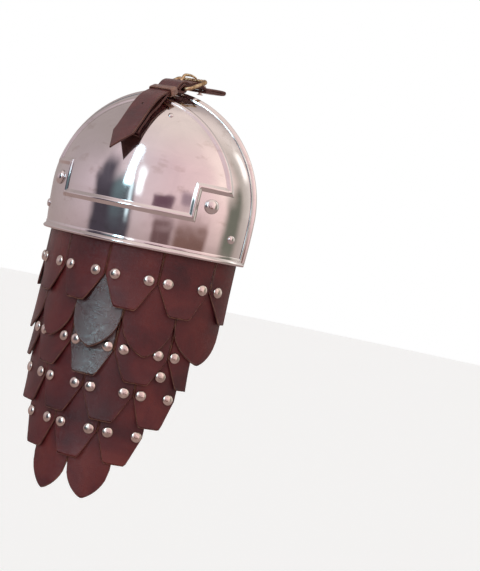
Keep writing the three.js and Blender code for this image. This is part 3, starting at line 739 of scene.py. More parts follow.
def sweep_on_cap(line, section):
    """Closed sweep. The section lists distances across the line and out from the skin."""
    apart = np.linalg.norm(line - np.roll(line, -1, axis=0), axis=1) > CLOSEST_POINTS
    line = line[apart]
    arrive = unit(line - np.roll(line, 1, axis=0))
    leave = unit(np.roll(line, -1, axis=0) - line)
    normal = cap_normal(line)
    sideways = unit(np.cross(normal, arrive + leave))
    straight = unit(np.cross(normal, arrive))
    stretch = 1 / np.maximum((sideways * straight).sum(1), MITRE_LIMIT)
    points = [line + sideways * (across * stretch)[:, None] + normal * out for across, out in section]
    points = np.stack(points, axis=1).reshape(-1, 3)
    return points, grid_faces(len(line), len(section), wrap_rows=True, wrap_columns=True)


print("arch at the rim is", round(run_lengths(arch_on_cap(0.0, 0.0, 2.0))[-1]), "mm long")

# %% [markdown]
# ## Rolled rim
#
# The edge of the sheet is turned over and rolled, which stiffens it and takes away its bite. The
# section is the hem with its small step, and the roll at its outer side. It is a piece of its
# own over the shell's edge, because its section is much finer than the shell's grid.

# %% Rolled rim
ROLL = 1.9
HEM_WIDTH = 5.8
HEM_STEP = 0.75
ROLL_FROM, ROLL_TO = math.radians(62), math.radians(262)


def rim_section():
    """Turned-over hem with a step at its inner side, and a roll at its outer one."""
    hem = [(HEM_WIDTH, -0.2), (HEM_WIDTH - 0.1, HEM_STEP - 0.3), (HEM_WIDTH - 0.5, HEM_STEP)]
    centre = ROLL - SHEET / 2
    angles = np.linspace(ROLL_FROM, ROLL_TO, 13)
    roll = [(ROLL * math.cos(a), centre + ROLL * math.sin(a)) for a in angles]
    return hem + [(HEM_WIDTH * 0.5, HEM_STEP)] + roll + [(HEM_WIDTH * 0.6, -SHEET - 0.2)]


def add_rim():
    x = float(cap_reach(ROLL, ROLL)) * np.sin(np.linspace(-math.pi / 2, math.pi / 2, 150))
    bottom = np.stack([x, -np.maximum(cap_depth(x, ROLL), ROLL), np.full(len(x), ROLL)], axis=1)
    line = np.concatenate([bottom, arch_on_cap(ROLL, ROLL, 2.5)])
    points, faces = sweep_on_cap(line, rim_section())
    return add_piece("rolled_rim", points, faces, [steel], sharp=38)


rim = add_rim()
print(rim.name, "has", len(rim.data.polygons), "faces")

# %% [markdown]
# ## Raised bead
#
# A bead is pushed out of the sheet from behind, round a panel with a square notch at each of its
# two lower corners. Its section is a smooth wave, so it rises from the steel without a crease,
# and its foot is closed below the skin. Displacing the shell itself would need a far denser grid.

# %% Panel bead
PANEL_BOTTOM = 37.7
NOTCH_TOP = 68.0
NOTCH_SIDE = 67.4
ARCH_OUT = 32.0
BEAD_HALF_WIDTH = 4.0
BEAD_HEIGHT = 2.1
BEAD_SINK = 0.06
BEAD_FULLNESS = 0.8


def bead_section():
    """Wave that leaves the sheet without a crease, closed below the skin."""
    share = np.linspace(-1, 1, 15)
    crown = BEAD_HEIGHT * (0.5 + 0.5 * np.cos(math.pi * share)) ** BEAD_FULLNESS
    wave = [(BEAD_HALF_WIDTH * s, c - BEAD_SINK) for s, c in zip(share, crown)]
    foot = BEAD_HALF_WIDTH * 0.6
    return wave + [(foot, -SHEET * 0.8), (-foot, -SHEET * 0.8)]


def add_bead():
    arch_x = float(cap_reach(ARCH_OUT, NOTCH_TOP))
    line = np.concatenate([
        line_on_cap(-NOTCH_SIDE, PANEL_BOTTOM, NOTCH_SIDE, PANEL_BOTTOM),
        line_on_cap(NOTCH_SIDE, PANEL_BOTTOM, NOTCH_SIDE, NOTCH_TOP),
        line_on_cap(NOTCH_SIDE, NOTCH_TOP, arch_x, NOTCH_TOP),
        arch_on_cap(ARCH_OUT, NOTCH_TOP, 2.0),
        line_on_cap(-arch_x, NOTCH_TOP, -NOTCH_SIDE, NOTCH_TOP)[1:],
        line_on_cap(-NOTCH_SIDE, NOTCH_TOP, -NOTCH_SIDE, PANEL_BOTTOM),
    ])
    points, faces = sweep_on_cap(line, bead_section())
    return add_piece("panel_bead", points, faces, [steel], sharp=38)


bead = add_bead()
print(bead.name, "has", len(bead.data.polygons), "faces")

# %% [markdown]
# ## Rivets
#
# A rivet is a shank with a domed head outside and a hammered tail inside. Both ends are turned
# shapes, so the whole rivet is one outline spun round its axis, with as many steps as its size
# on screen needs. The skirt's rivets are made the same way as the cap's, and their places come
# with the leather below.

# %% Rivet builder
RIVET_STEPS = 28
HIGHEST_LIP = 0.5
METALS = {"steel": steel, "nickel": nickel}


def rivet_outline(head, rise, shank, tail, grip):
    """Half outline of a rivet: distance from the axis, and height over the head's seat."""
    lip = min(HIGHEST_LIP, rise / 4)
    angle = np.linspace(math.pi / 2, 0, 9)
    dome = [(head * math.cos(a), lip + (rise - lip) * math.sin(a)) for a in angle]
    under = [(head - 0.15, 0.0), (shank, 0.0), (shank, -grip)]
    button = [(tail, -grip), (tail, -grip - 0.5), (tail * 0.8, -grip - 0.95), (0.0, -grip - 1.0)]
    return dome + under + button


def add_rivet(name, place, direction, sizes, grip, metal, solid=True):
    """Rivet whose head sits at a place. It replaces the solid of its name, if there is one.

    Sizes are the radius and rise of the head, and the radii of the shank and the tail.
    """
    outline = rivet_outline(*sizes, grip)
    turned = np.array(Vector((0, 0, 1)).rotation_difference(Vector(direction)).to_matrix())
    spin = once_round(RIVET_STEPS)
    rings = [(r * np.cos(spin), r * np.sin(spin), np.full(len(spin), h)) for r, h in outline[1:-1]]
    local = np.concatenate([np.stack(ring, axis=1) for ring in rings])
    local = np.concatenate([local, [(0, 0, outline[0][1]), (0, 0, outline[-1][1])]])
    points = local @ turned.T + np.asarray(place)
    count = len(rings)
    faces = [tuple(reversed(f)) for f in grid_faces(count, RIVET_STEPS, wrap_columns=True)]
    top, bottom = len(points) - 2, len(points) - 1
    for j in range(RIVET_STEPS):
        k = (j + 1) % RIVET_STEPS
        faces.append((j, k, top))
        faces.append(((count - 1) * RIVET_STEPS + k, (count - 1) * RIVET_STEPS + j, bottom))
    replaced = [name] if solid else []
    return add_piece(f"{name}_{metal}", points, faces, [METALS[metal]], replaced, sharp=40)


print("rivets have", RIVET_STEPS, "sides, in", " or ".join(METALS))

# %% [markdown]
# ## The cap's rivets
#
# Each side of the cap has three: a large one in the notch, one near the corner that goes through
# the leather below it, and a small one on the crown. They are placed on the surface by formula
# and turned to its normal, so they sit square on the steel. Placing them by hand would be as
# quick for six, but they would come off the steel as soon as the cap's shape changed.

# %% Rivets of the cap
GAP = 0.3
TAIL_GAP = 0.8
CAP_RIVET = (7.3, 4.6, 2.4, 5.0)
CORNER_RIVET = (4.0, 2.4, 1.6, 3.0)
CROWN_RIVET = (2.6, 1.4, 1.2, 2.2)
CORNER_GRIP = 8.6
CAP_RIVET_AT = (80.5, 51.5)
CORNER_RIVET_AT = (98.5, 24)
CROWN_RIVET_AT = (21, 46)


def on_side(x, z):
    """Place on the cap's outer side, by distance from its middle and height."""
    return x, -cap_depth(x, z), z


def on_crown(x, out):
    """Place on the crown, by distance from its middle and from the rim plane."""
    return x, -out, cap_height(x, out)


def add_cap_rivets():
    names = []
    places = {
        "cap_rivet": (on_side(*CAP_RIVET_AT), CAP_RIVET, SHEET),
        "corner_rivet": (on_side(*CORNER_RIVET_AT), CORNER_RIVET, CORNER_GRIP),
        "crown_rivet": (on_crown(*CROWN_RIVET_AT), CROWN_RIVET, SHEET),
    }
    for side, sign in (("front", 1), ("back", -1)):
        for name, (place, sizes, depth) in places.items():
            place = np.array([float(v) for v in place]) * (sign, 1, 1)
            direction = cap_normal(place)[0]
            add_rivet(f"{name}_{side}", place, direction, sizes, depth + TAIL_GAP, "steel")
            names.append(f"{name}_{side}")
    return names


print("steel rivets:", add_cap_rivets())

# %% [markdown]
# ## The line of the skirt
#
# The skirt hangs inside the cap and widens a little as it goes down. Its shape in plan is the
# cap's own outline, made smaller. Each place on it is given as a distance round this line, a
# height and a depth, so every scale can be drawn flat, as it is cut, and bent round afterwards.
# A Curve modifier bends a mesh too, but it has no depth for the layers and no lean.

# %% Line of the skirt
SKIRT_HALF_LENGTH = 100.5
SKIRT_DEPTH = 79.0
SKIRT_DEPTH_AT = -28.7
SKIRT_LEAN = 0.075
LEATHER = 2.2
PITCH = 2.5
SLIT = 0.05


def skirt_line():
    """Outline of the skirt as lengths from its middle, points, and outward normals."""
    line, lengths = fine_outline(SKIRT_HALF_LENGTH, SKIRT_DEPTH)
    lengths -= lengths[-1] / 2
    even = np.linspace(lengths[0], lengths[-1], 301)
    points = at_lengths(even, lengths, line)
    along = np.gradient(points, axis=0)
    normal = unit(np.stack([along[:, 1], -along[:, 0]], axis=1))
    return even, points, normal


LINE_LENGTHS, LINE_POINTS, LINE_NORMALS = skirt_line()


def skirt_normal(around):
    """Outward direction at a distance round the skirt, tilted up because the skirt leans out."""
    flat = unit(at_lengths(around, LINE_LENGTHS, LINE_NORMALS))
    return unit(np.concatenate([flat, -SKIRT_LEAN * flat[..., 1:]], axis=-1))


def skirt_point(around, z, depth):
    """Point at a distance round the skirt, a height, and a depth in from its outer face."""
    around, z, depth = np.broadcast_arrays(around, z, depth)
    place = at_lengths(around, LINE_LENGTHS, LINE_POINTS)
    place = place - at_lengths(around, LINE_LENGTHS, LINE_NORMALS) * depth[..., None]
    out = SKIRT_LEAN * (SKIRT_DEPTH_AT - z)
    return np.stack([place[..., 0], place[..., 1] - out, z], axis=-1)


print("skirt is", round(2 * LINE_LENGTHS[-1]), "mm round")

# %% [markdown]
# ## The cutting table
#
# The scales are cut from a few patterns: most rows have a blunt point with a flat tip, and rows
# B and F are rounded like a leaf. The table gives each row's heights, in millimetres from the
# cap's bottom edge, and where its scales meet, as distances round the skirt from its middle.
# Only the front half is listed, and the back half is its mirror image. Each scale could be
# drawn by hand, but a table keeps a row regular and shows at once how the rows overlap.

# %% Table of scales
LEAF_POINT = 0.75
LEAF_STEPS = 14
ROWS = [
    dict(row="a", top=33, shoulder=-30, bottom=-59.5, edges=[0, 52, 105.5, 136], flat=10.5, straight=True),
    dict(row="b", top=-20, shoulder=-66, bottom=-101.5, edges=[-26, 26, 78, 134], tips=[0, 54, 111]),
    dict(row="c", top=-20, shoulder=-100, bottom=-127.5, edges=[-25, 25, 80, 106], flat=12, straight=True),
    dict(row="d", top=-90, shoulder=-139, bottom=-168, edges=[0, 54, 99], flat=11.5),
    dict(row="e", top=-131, shoulder=-178, bottom=-207, edges=[-26.5, 26.5, 74], flat=11.5),
    dict(row="f", top=-170, shoulder=-213, bottom=-244, edges=[0, 48.5], tips=[25]),
]


def list_scales():
    """All scales from back to front in each row, the back half mirrored from the front."""
    scales = []
    for layer, row in enumerate(ROWS):
        half = []
        for i, (start, end) in enumerate(zip(row["edges"], row["edges"][1:])):
            last = i == len(row["edges"]) - 2
            tip = row["tips"][i] if "tips" in row else None
            half.append(dict(start=start + SLIT, end=end - SLIT, tip=tip,
                             straight=1 if row.get("straight") and last else 0))
        back = [
            dict(start=-s["end"], end=-s["start"], tip=None if s["tip"] is None else -s["tip"],
                 straight=-s["straight"])
            for s in half if s["start"] > 0
        ]
        for i, scale in enumerate(back[::-1] + half):
            shared = {key: row.get(key) for key in ("row", "top", "shoulder", "bottom", "flat")}
            scales.append(dict(name=f"scale_{row['row']}{i + 1}", layer=layer, **shared, **scale))
    return scales


def lower_edge(scale):
    """Corners or curve points of a scale's lower edge, from its back side to its front side."""
    start, end, shoulder, bottom = (scale[k] for k in ("start", "end", "shoulder", "bottom"))
    if scale["flat"] is None:
        drop = np.sin(np.linspace(0, math.pi / 2, LEAF_STEPS))[::-1]
        share = np.maximum(1 - drop ** 2, 0) ** LEAF_POINT
        back, front = (
            [(scale["tip"] + (side - scale["tip"]) * s, shoulder + (bottom - shoulder) * d)
             for s, d in zip(share, drop)]
            for side in (start, end)
        )
        return back[::-1] + front[1:]
    middle = {1: end, 0: (start + end) / 2, -1: start}[scale["straight"]]
    back = [(start, shoulder), (middle - scale["flat"], bottom)]
    front = [(middle + scale["flat"], bottom), (end, shoulder)]
    if scale["straight"] < 0:
        back = [(start, bottom)]
    if scale["straight"] > 0:
        front = [(end, bottom)]
    return back + front


SCALES = list_scales()
print("scales:", len(SCALES))

# %% [markdown]
# ## A sheet of leather
#
# Every piece of leather is made by one function: a flat grid for the face, the same grid for
# the back, and between them a rim with rounded edges. A second function then puts each flat
# point and its depth in place. Solidify and bevel modifiers could thicken a flat sheet, but
# then the face, the rim and the back couldn't each have a material as easily.

# %% Leather sheet builder
# Insets of the rim from the outline, and the depths at which they are reached.
FACE_ROUNDING = ((0.75, 0.0), (0.28, 0.22), (0.0, 0.7))
WEAR_WIDTH = 1.5


def rim_of(grid):
    """Indices of the grid's border in order, their flat places, and the directions outward."""
    rows, columns = grid.shape[:2]
    left = [i * columns for i in range(rows)]
    bottom = [(rows - 1) * columns + j for j in range(1, columns)]
    right = [i * columns + columns - 1 for i in range(rows - 2, -1, -1)]
    top = [j for j in range(columns - 2, 0, -1)]
    border = left + bottom + right + top
    flat = grid.reshape(-1, 2)[border]
    along = unit(unit(np.roll(flat, -1, axis=0) - flat) + unit(flat - np.roll(flat, 1, axis=0)))
    outward = np.stack([along[:, 1], -along[:, 0]], axis=1)
    middle = grid.reshape(-1, 2).mean(axis=0)
    return border, flat, outward * np.sign(((flat - middle) * outward).sum())


def add_leather(name, grid, place, thickness, face_finish, back):
    """Sheet of leather with a rounded rim, in the place of the solid of its name.

    The function place turns flat points and a depth into points.
    """
    border, flat, outward = rim_of(grid)
    rounding = list(FACE_ROUNDING) + [(inset, thickness - d) for inset, d in FACE_ROUNDING[::-1]]
    face = grid.reshape(-1, 2).copy()
    face[border] = flat - outward * rounding[0][0]
    front, rear = place(face, 0.0), place(face, thickness)
    rings = [place(flat - outward * inset, depth) for inset, depth in rounding[1:-1]]
    count, loop = len(front), len(border)
    faces = grid_faces(*grid.shape[:2])
    fronts = [tuple(reversed(f)) for f in faces]
    rears = [tuple(i + count for i in f) for f in faces]
    chain = [border]
    chain += [[2 * count + r * loop + i for i in range(loop)] for r in range(len(rings))]
    chain.append([i + count for i in border])
    rims = []
    for one, two in zip(chain, chain[1:]):
        rims += [(one[i], one[i - loop + 1], two[i - loop + 1], two[i]) for i in range(loop)]
    to_rim = np.linalg.norm(face[:, None] - flat[None], axis=2).min(axis=1)
    wear = np.exp(-to_rim / WEAR_WIDTH)
    kinds = [0] * len(fronts) + [2] * len(rears) + [0] * loop + [1] * (loop * (len(chain) - 2))
    return add_piece(
        name + "_leather", np.concatenate([front, rear, *rings]), fronts + rears + rims,
        [face_finish, leather_edge, back], [name], face_materials=kinds,
        near_edge=np.concatenate([wear, wear, np.ones(loop * len(rings))]),
    )


print("a leather rim has", 2 * len(FACE_ROUNDING), "lines of points")

# %% [markdown]
# ## Scales
#
# The skirt is six rows of scales, riveted where they overlap, with each row under the one above.
# Leather never hangs quite flat, so below its rivets each scale stands out a little, twists and
# curls by its own amount. The amounts are drawn at random from a fixed seed, so every run of
# the lesson gives the same skirt. A cloth simulation would take minutes to find such shapes.

# %% Scales
# Below the height at which the row's rivets hold it, a scale can stand out.
HELD_AT = {"a": -33, "b": -50, "c": -100, "d": -141, "e": -181, "f": -195}
# These scales stand out furthest, and catch the window's light.
PROUD_SCALES = {"scale_a3": 3.4, "scale_a4": 3.6, "scale_b3": 5.0, "scale_c3": 4.2, "scale_e2": 3.0}
WAXED_SCALES = ("scale_b3", "scale_c3")
# Millimetres by which a free end stands out, and its sides twist, curl and wave.
LIFT = (0.8, 2.6)
TWIST = 1.1
CURL = (-0.5, 0.9)
WAVE = 0.35
CORNER_ROUNDING = 1.3
ACROSS_STEP, DOWN_STEP = 2.2, 2.4


def hang_scale(scale, rng):
    """How far a scale stands out of its place, as a function of where on it."""
    low = scale["bottom"]
    lift = PROUD_SCALES.get(scale["name"], rng.uniform(*LIFT))
    twist = rng.uniform(-TWIST, TWIST)
    curl = rng.uniform(*CURL)
    phase = rng.uniform(0, 2 * math.pi)
    held = HELD_AT[scale["row"]]
    middle, half = (scale["start"] + scale["end"]) / 2, (scale["end"] - scale["start"]) / 2

    def outward(around, z):
        free = np.clip((held - z) / (held - low), 0, 1)
        side = (around - middle) / half
        rise = free ** 1.6 * (lift + twist * side) + free * curl * side ** 2
        wave = WAVE * free * np.sin(phase + side * 2.4 + free * 2.0)
        return np.maximum(rise + wave, -0.1)

    return outward


def scale_grid(scale):
    """Flat grid of a scale, as distance round the skirt and height, row by row."""
    s, z = np.array(lower_edge(scale)).T
    width = scale["end"] - scale["start"]
    across = np.linspace(scale["start"], scale["end"], max(int(width / ACROSS_STEP), 8) + 1)
    spread = np.linspace(-CORNER_ROUNDING, CORNER_ROUNDING, 7)
    near = np.clip(across[:, None] + spread[None], scale["start"], scale["end"])
    low = np.interp(near, s, z).mean(axis=1)
    low[0], low[-1] = z[0], z[-1]
    rows = max(int((scale["top"] - scale["bottom"]) / DOWN_STEP), 10)
    down = np.linspace(0, 1, rows + 1)
    heights = scale["top"] + (low[None] - scale["top"]) * down[:, None]
    return np.stack([np.broadcast_to(across, heights.shape), heights], axis=-1)


def add_scale(scale, rng):
    outward = hang_scale(scale, rng)
    outer = scale["layer"] * PITCH

    def place(points, depth):
        lift = outward(points[:, 0], points[:, 1])
        return skirt_point(points[:, 0], points[:, 1], outer + depth - lift)

    finish = waxed_leather if scale["name"] in WAXED_SCALES else leather
    return add_leather(scale["name"], scale_grid(scale), place, LEATHER, finish, suede)


rng = np.random.default_rng(7)
for scale in SCALES:
    add_scale(scale, rng)
print("leather scales made:", len(SCALES))

# %% [markdown]
# ## The skirt's rivets
#
# A rivet goes through every scale that lies at its place, so its length is worked out from the
# layers it meets. Each row's rivets are given on the front half and mirrored to the back. One
# more sits off the rows, as if to mend a loose scale. An Array modifier could repeat a rivet
# along a row, but the rivets aren't evenly spaced, and their lengths differ.

# %% Rivets of the skirt
SMALL_RIVET = (5.4, 3.1, 1.8, 3.2)
RIVET_ROWS = [
    dict(row="a", z=-28.7, places=[10.2, 43, 61.5, 96.7, 115], solid=True),
    dict(row="c", z=-97.3, places=[18, 34.5, 69, 86.5], solid=True),
    dict(row="d", z=-138, places=[9, 44, 61.5, 90.5], solid=False),
    dict(row="e", z=-177.5, places=[17, 37, 67], solid=False),
]
# Distance round the skirt, height, and depth in from the skirt's outer face.
MENDING_RIVET_AT = (76.0, -117.0, 2 * PITCH - 0.6)


def layers_at(around, z):
    """Layers of the scales that lie at a place."""
    return [
        s["layer"] for s in SCALES
        if s["start"] < around < s["end"] and s["top"] > z
        and np.interp(around, *np.array(lower_edge(s)).T) < z
    ]


def add_skirt_rivets():
    made = 0
    for row in RIVET_ROWS:
        z, solid = row["z"], row["solid"]
        for i, around in enumerate([-s for s in row["places"][::-1]] + row["places"]):
            outer, inner = min(layers_at(around, z)), max(layers_at(around, z))
            place = skirt_point(around, z, outer * PITCH)
            grip = (inner - outer) * PITCH + LEATHER + TAIL_GAP
            name = f"rivet_{row['row']}{i + 1}"
            add_rivet(name, place, skirt_normal(around), SMALL_RIVET, grip, "nickel", solid)
            made += 1
    place, direction = skirt_point(*MENDING_RIVET_AT), skirt_normal(MENDING_RIVET_AT[0])
    add_rivet("mending_rivet", place, direction, SMALL_RIVET, 2 * PITCH, "nickel", False)
    return made + 1


print("nickel rivets in the skirt:", add_skirt_rivets())

# %% [markdown]
# ## The strap's line
#
# A strap of 25 mm leather crosses the crown at an angle. All of its pieces are drawn in one
# upright plane, as a path of distances outward and heights, and their width comes off that
# plane to both sides. The paths pass through a few chosen places. A Bezier curve object would
# smooth them too, but then the leather's own sheet couldn't be bent along it so simply.

# %% Strap plane
STRAP_TURN = math.radians(15)
STRAP_START_X = 10.0
STRAP_WIDTH = 25.0
STRAP_LEATHER = 2.4
STRAP_ALONG = np.array([-math.sin(STRAP_TURN), -math.cos(STRAP_TURN), 0.0])
STRAP_ACROSS = np.array([math.cos(STRAP_TURN), -math.sin(STRAP_TURN), 0.0])


def on_strap_line(out, z, across=0.0):
    """Points from distances outward, heights, and distances across the strap."""
    out, z, across = np.broadcast_arrays(np.asarray(out, float), z, across)
    start = np.stack([np.full(out.shape, STRAP_START_X), np.zeros(out.shape), z], axis=-1)
    return start + out[..., None] * STRAP_ALONG + across[..., None] * STRAP_ACROSS


def crown_under_strap(out):
    """Highest place of the cap under the strap's width."""
    across = np.array([-0.5, 0, 0.5]) * STRAP_WIDTH
    places = on_strap_line(np.full(3, float(out)), 0.0, across)
    return float(cap_height(places[:, 0], -places[:, 1]).max())


def above_cap(out, height):
    """Place in the strap's plane that is a height straight off the cap's skin."""
    slope = crown_under_strap(out + 0.5) - crown_under_strap(out - 0.5)
    length = math.hypot(1, slope)
    return out - slope / length * height, crown_under_strap(out) + height / length


def smooth_path(places, spacing=1.0):
    """Even points on a smooth curve through all places, with their upward directions."""
    p = np.array(places, float)
    chords = np.linalg.norm(np.diff(p, axis=0), axis=1)[:, None]
    slopes = np.diff(p, axis=0) / chords
    tangent = np.empty_like(p)
    tangent[0], tangent[-1] = slopes[0], slopes[-1]
    before, after = chords[:-1], chords[1:]
    tangent[1:-1] = (slopes[:-1] * after + slopes[1:] * before) / (before + after)
    t = np.linspace(0, 1, 16, endpoint=False)[:, None]
    pieces = [
        (2 * t ** 3 - 3 * t ** 2 + 1) * a + (t ** 3 - 2 * t ** 2 + t) * chord * m
        + (3 * t ** 2 - 2 * t ** 3) * b + (t ** 3 - t ** 2) * chord * n
        for a, b, m, n, chord in zip(p, p[1:], tangent, tangent[1:], chords)
    ]
    line = np.concatenate(pieces + [p[-1:]])
    lengths = run_lengths(line)
    even = np.linspace(0, lengths[-1], max(int(lengths[-1] / spacing), 2) + 1)
    points = at_lengths(even, lengths, line)
    along = unit(np.gradient(points, axis=0))
    return even, points, np.stack([-along[:, 1], along[:, 0]], axis=1)


print("crown under the strap:", round(crown_under_strap(0), 1), "mm high")

# %% [markdown]
# ## Bands of leather
#
# The strap and the chape are flat bands with rounded rims, bent over a path. A band can end in
# a point, and its middle is a little higher than its sides, as a used strap's is. Holes are
# punched with a Boolean modifier, which is the simplest way to put a clean hole into a bent
# sheet, and the modifier is applied at once, so no cutter is left in the scene.

# %% Leather bands
BAND_CROWN = 0.3
BAND_STEP = 1.6
BAND_TAIL = 8.0


def bend_band(places, thickness):
    """Bends flat points, across and along the band, over a path."""
    lengths, points, rise = smooth_path(places)

    def place(flat, depth):
        across, along = flat[:, 0], flat[:, 1]
        drop = BAND_CROWN * (2 * across / STRAP_WIDTH) ** 2
        out = (thickness / 2 - depth - drop)[:, None]
        middle = at_lengths(along, lengths, points) + unit(at_lengths(along, lengths, rise)) * out
        return on_strap_line(middle[:, 0], middle[:, 1], across)

    return lengths[-1], place


def band_grid(length, point=0.0, wave=None, columns=12):
    """Flat grid of a band, with a pointed far end of a given length."""
    across = np.linspace(-0.5, 0.5, columns + 1) * STRAP_WIDTH
    body = np.linspace(0, length - point - BAND_TAIL, int(length / BAND_STEP))
    end = length - point * np.abs(2 * across / STRAP_WIDTH)
    share = np.linspace(0, 1, 14)[1:, None]
    last = body[-1] + (end[None] - body[-1]) * share
    along = np.concatenate([np.broadcast_to(body[:, None], (len(body), len(across))), last])
    grid = np.stack([np.broadcast_to(across, along.shape), along], axis=-1).copy()
    if wave is not None:
        grid[..., 0] *= wave(grid[..., 1])
    return grid


def cut_through(piece, points):
    """Cuts a piece with a closed tube of points: two rings, one above the other."""
    half = len(points) // 2
    ring = list(range(half))
    faces = [ring[::-1], [i + half for i in ring]]
    faces += [(i, (i + 1) % half, (i + 1) % half + half, i + half) for i in ring]
    mesh = bpy.data.meshes.new("cutter")
    mesh.from_pydata(in_frame(points).tolist(), [], faces)
    mesh.materials.append(leather_edge)
    cutter = bpy.data.objects.new("cutter", mesh)
    bpy.context.scene.collection.objects.link(cutter)
    modifier = piece.modifiers.new("cut", "BOOLEAN")
    modifier.operation = "DIFFERENCE"
    modifier.solver = "EXACT"
    modifier.material_mode = "TRANSFER"
    modifier.object = cutter
    dressed = piece.evaluated_get(bpy.context.evaluated_depsgraph_get())
    result = bpy.data.meshes.new_from_object(dressed)
    piece.modifiers.clear()
    piece.data = result
    bpy.data.objects.remove(cutter)
    return len(result.polygons)


def oval_tube(centre, half_across, half_along, reach, steps=20):
    """Upright tube with an oval outline, turned with the strap."""
    angle = once_round(steps)
    flat = centre + np.outer(half_across * np.cos(angle), STRAP_ACROSS)
    flat = flat - np.outer(half_along * np.sin(angle), STRAP_ALONG)
    return np.concatenate([flat - (0, 0, reach), flat + (0, 0, reach)])


print("bands are", STRAP_WIDTH, "mm wide")

# %% [markdown]
# ## Chape
#
# The chape is the short piece that is riveted to the cap and folded round the buckle's bar. It
# has a slot at the fold for the prong, and its sides are cut by hand and aren't quite straight.
# It could be modelled flat and bent with a modifier. Here it is a band on its own path, which
# lies on the steel, rises over the keeper's lower side, and turns round the bar.

# %% Chape
BEAD_TOP = 2.1
KEEPER_LEATHER = 1.4
KEEPER_FROM, KEEPER_LENGTH = 25.5, 8.5
BAR_AT = (15.0, 159.6)
FAR_BAR_AT = (-11.0, 171.6)
BAR = 1.9
CHAPE_LENGTH = 70.0
CHAPE_RIVET_AT = 64.0
FLAT_RIVET = (4.0, 1.0, 1.6, 3.0)
# The fold's turn round the bar in degrees, and the half sizes and reach of the prong's slot.
FOLD_TURN = (270, 240, 210, 180, 150, 120, 90, 60)
PRONG_SLOT = (3.2, 6.5, 15)
# The sides' waviness: its share of the width, its length, where it fades out and how fast.
SIDE_WAVE, SIDE_WAVE_LENGTH, WAVY_UNTIL, WAVE_FADE = 0.055, 3.1, 34, 8
chape_height = BEAD_TOP + 2 * GAP + KEEPER_LEATHER + STRAP_LEATHER / 2
strap_height = chape_height + STRAP_LEATHER + GAP


def at_keeper(along, height):
    """Place by distance from the keeper's middle along the strap, and height over the cap."""
    middle = KEEPER_FROM + KEEPER_LENGTH / 2
    (s0, z0), (s1, z1) = above_cap(middle, 0), above_cap(middle, 1)
    return s0 + (s1 - s0) * height + (z1 - z0) * along, z0 + (z1 - z0) * height - (s1 - s0) * along


def chape_sides(along):
    """Share of the full width. The hand-cut sides are a little narrower here and there."""
    wave = 0.5 + 0.5 * np.sin(along / SIDE_WAVE_LENGTH)
    return 1 - SIDE_WAVE * wave * np.clip((WAVY_UNTIL - along) / WAVE_FADE, 0, 1)


def add_chape():
    fold = BAR + 2 * GAP + STRAP_LEATHER / 2
    off_steel = GAP + 0.1
    resting = [above_cap(s, STRAP_LEATHER / 2 + off_steel) for s in np.arange(CHAPE_LENGTH, 49, -3.5)]
    turns = np.radians(FOLD_TURN)
    bend = [(BAR_AT[0] + fold * math.cos(a), BAR_AT[1] + fold * math.sin(a)) for a in turns]
    places = [
        *resting, above_cap(46.5, 2.1), above_cap(41.5, 3.7), at_keeper(7, chape_height),
        at_keeper(-6, chape_height), *bend, (BAR_AT[0] + 8.5, BAR_AT[1] - 2.6),
    ]
    length, place = bend_band(places, STRAP_LEATHER)
    grid = band_grid(length, wave=chape_sides)
    piece = add_leather("chape", grid, place, STRAP_LEATHER, strap_leather, strap_leather)
    cut_through(piece, oval_tube(on_strap_line(BAR_AT[0] - 2, BAR_AT[1]), *PRONG_SLOT))
    head = on_strap_line(*above_cap(CHAPE_RIVET_AT, STRAP_LEATHER + off_steel))
    foot = on_strap_line(*above_cap(CHAPE_RIVET_AT, 0))
    grip = 2 * STRAP_LEATHER + SHEET + TAIL_GAP
    add_rivet("chape_rivet", head, head - foot, FLAT_RIVET, grip, "steel")
    return length


print("chape is cut", round(add_chape()), "mm long")

# %% [markdown]
# ## Keeper
#
# The keeper is a narrow loop of leather round the chape and the strap, which holds the strap's
# free end down. It is a small section swept round a rounded rectangle. Its sides bulge a little
# and lean, because it is soft and pulled to one side. A torus would be too round for it.

# %% Keeper
KEEPER_BULGE = 0.9
KEEPER_SKEW = 0.1


def rounded_rectangle(half_width, half_height, radius, corner_steps=5):
    """Points and outward directions round a rectangle with rounded corners."""
    points, normals = [], []
    for x, y, start in ((1, 1, 0), (-1, 1, 90), (-1, -1, 180), (1, -1, 270)):
        for step in np.linspace(0, 90, corner_steps):
            a = math.radians(start + step)
            normals.append((math.cos(a), math.sin(a)))
            points.append((
                x * (half_width - radius) + radius * math.cos(a),
                y * (half_height - radius) + radius * math.sin(a),
            ))
    return np.array(points), np.array(normals)


def add_keeper():
    low = chape_height - STRAP_LEATHER / 2 - GAP - KEEPER_LEATHER / 2
    high = strap_height + STRAP_LEATHER / 2 + GAP + KEEPER_LEATHER / 2
    half = STRAP_WIDTH / 2 + GAP + KEEPER_LEATHER / 2
    loop, loop_out = rounded_rectangle(half, (high - low) / 2, 1.5)
    section, _ = rounded_rectangle(KEEPER_LENGTH / 2, KEEPER_LEATHER / 2, 0.4, 3)
    points = []
    for (across, height), (out_across, out_height) in zip(loop, loop_out):
        height = height + (high + low) / 2
        bulge = KEEPER_BULGE * math.exp(-(((height - low) / (high - low) - 0.45) / 0.3) ** 2)
        for along, out in section:
            skew = KEEPER_SKEW * along * (1 if across > 0 else -1)
            s, z = at_keeper(along + skew, height + out_height * out)
            points.append(on_strap_line(s, z, across + out_across * out + np.sign(across) * bulge))
    faces = grid_faces(len(loop), len(section), wrap_rows=True, wrap_columns=True)
    wear = [0.9 if abs(along) > KEEPER_LENGTH / 2 - 0.5 else 0.2 for along, _ in section]
    return add_piece(
        "keeper_leather", np.array(points), faces, [strap_leather], ["keeper"],
        sharp=50, near_edge=np.tile(wear, len(loop)),
    )


print(add_keeper().name)

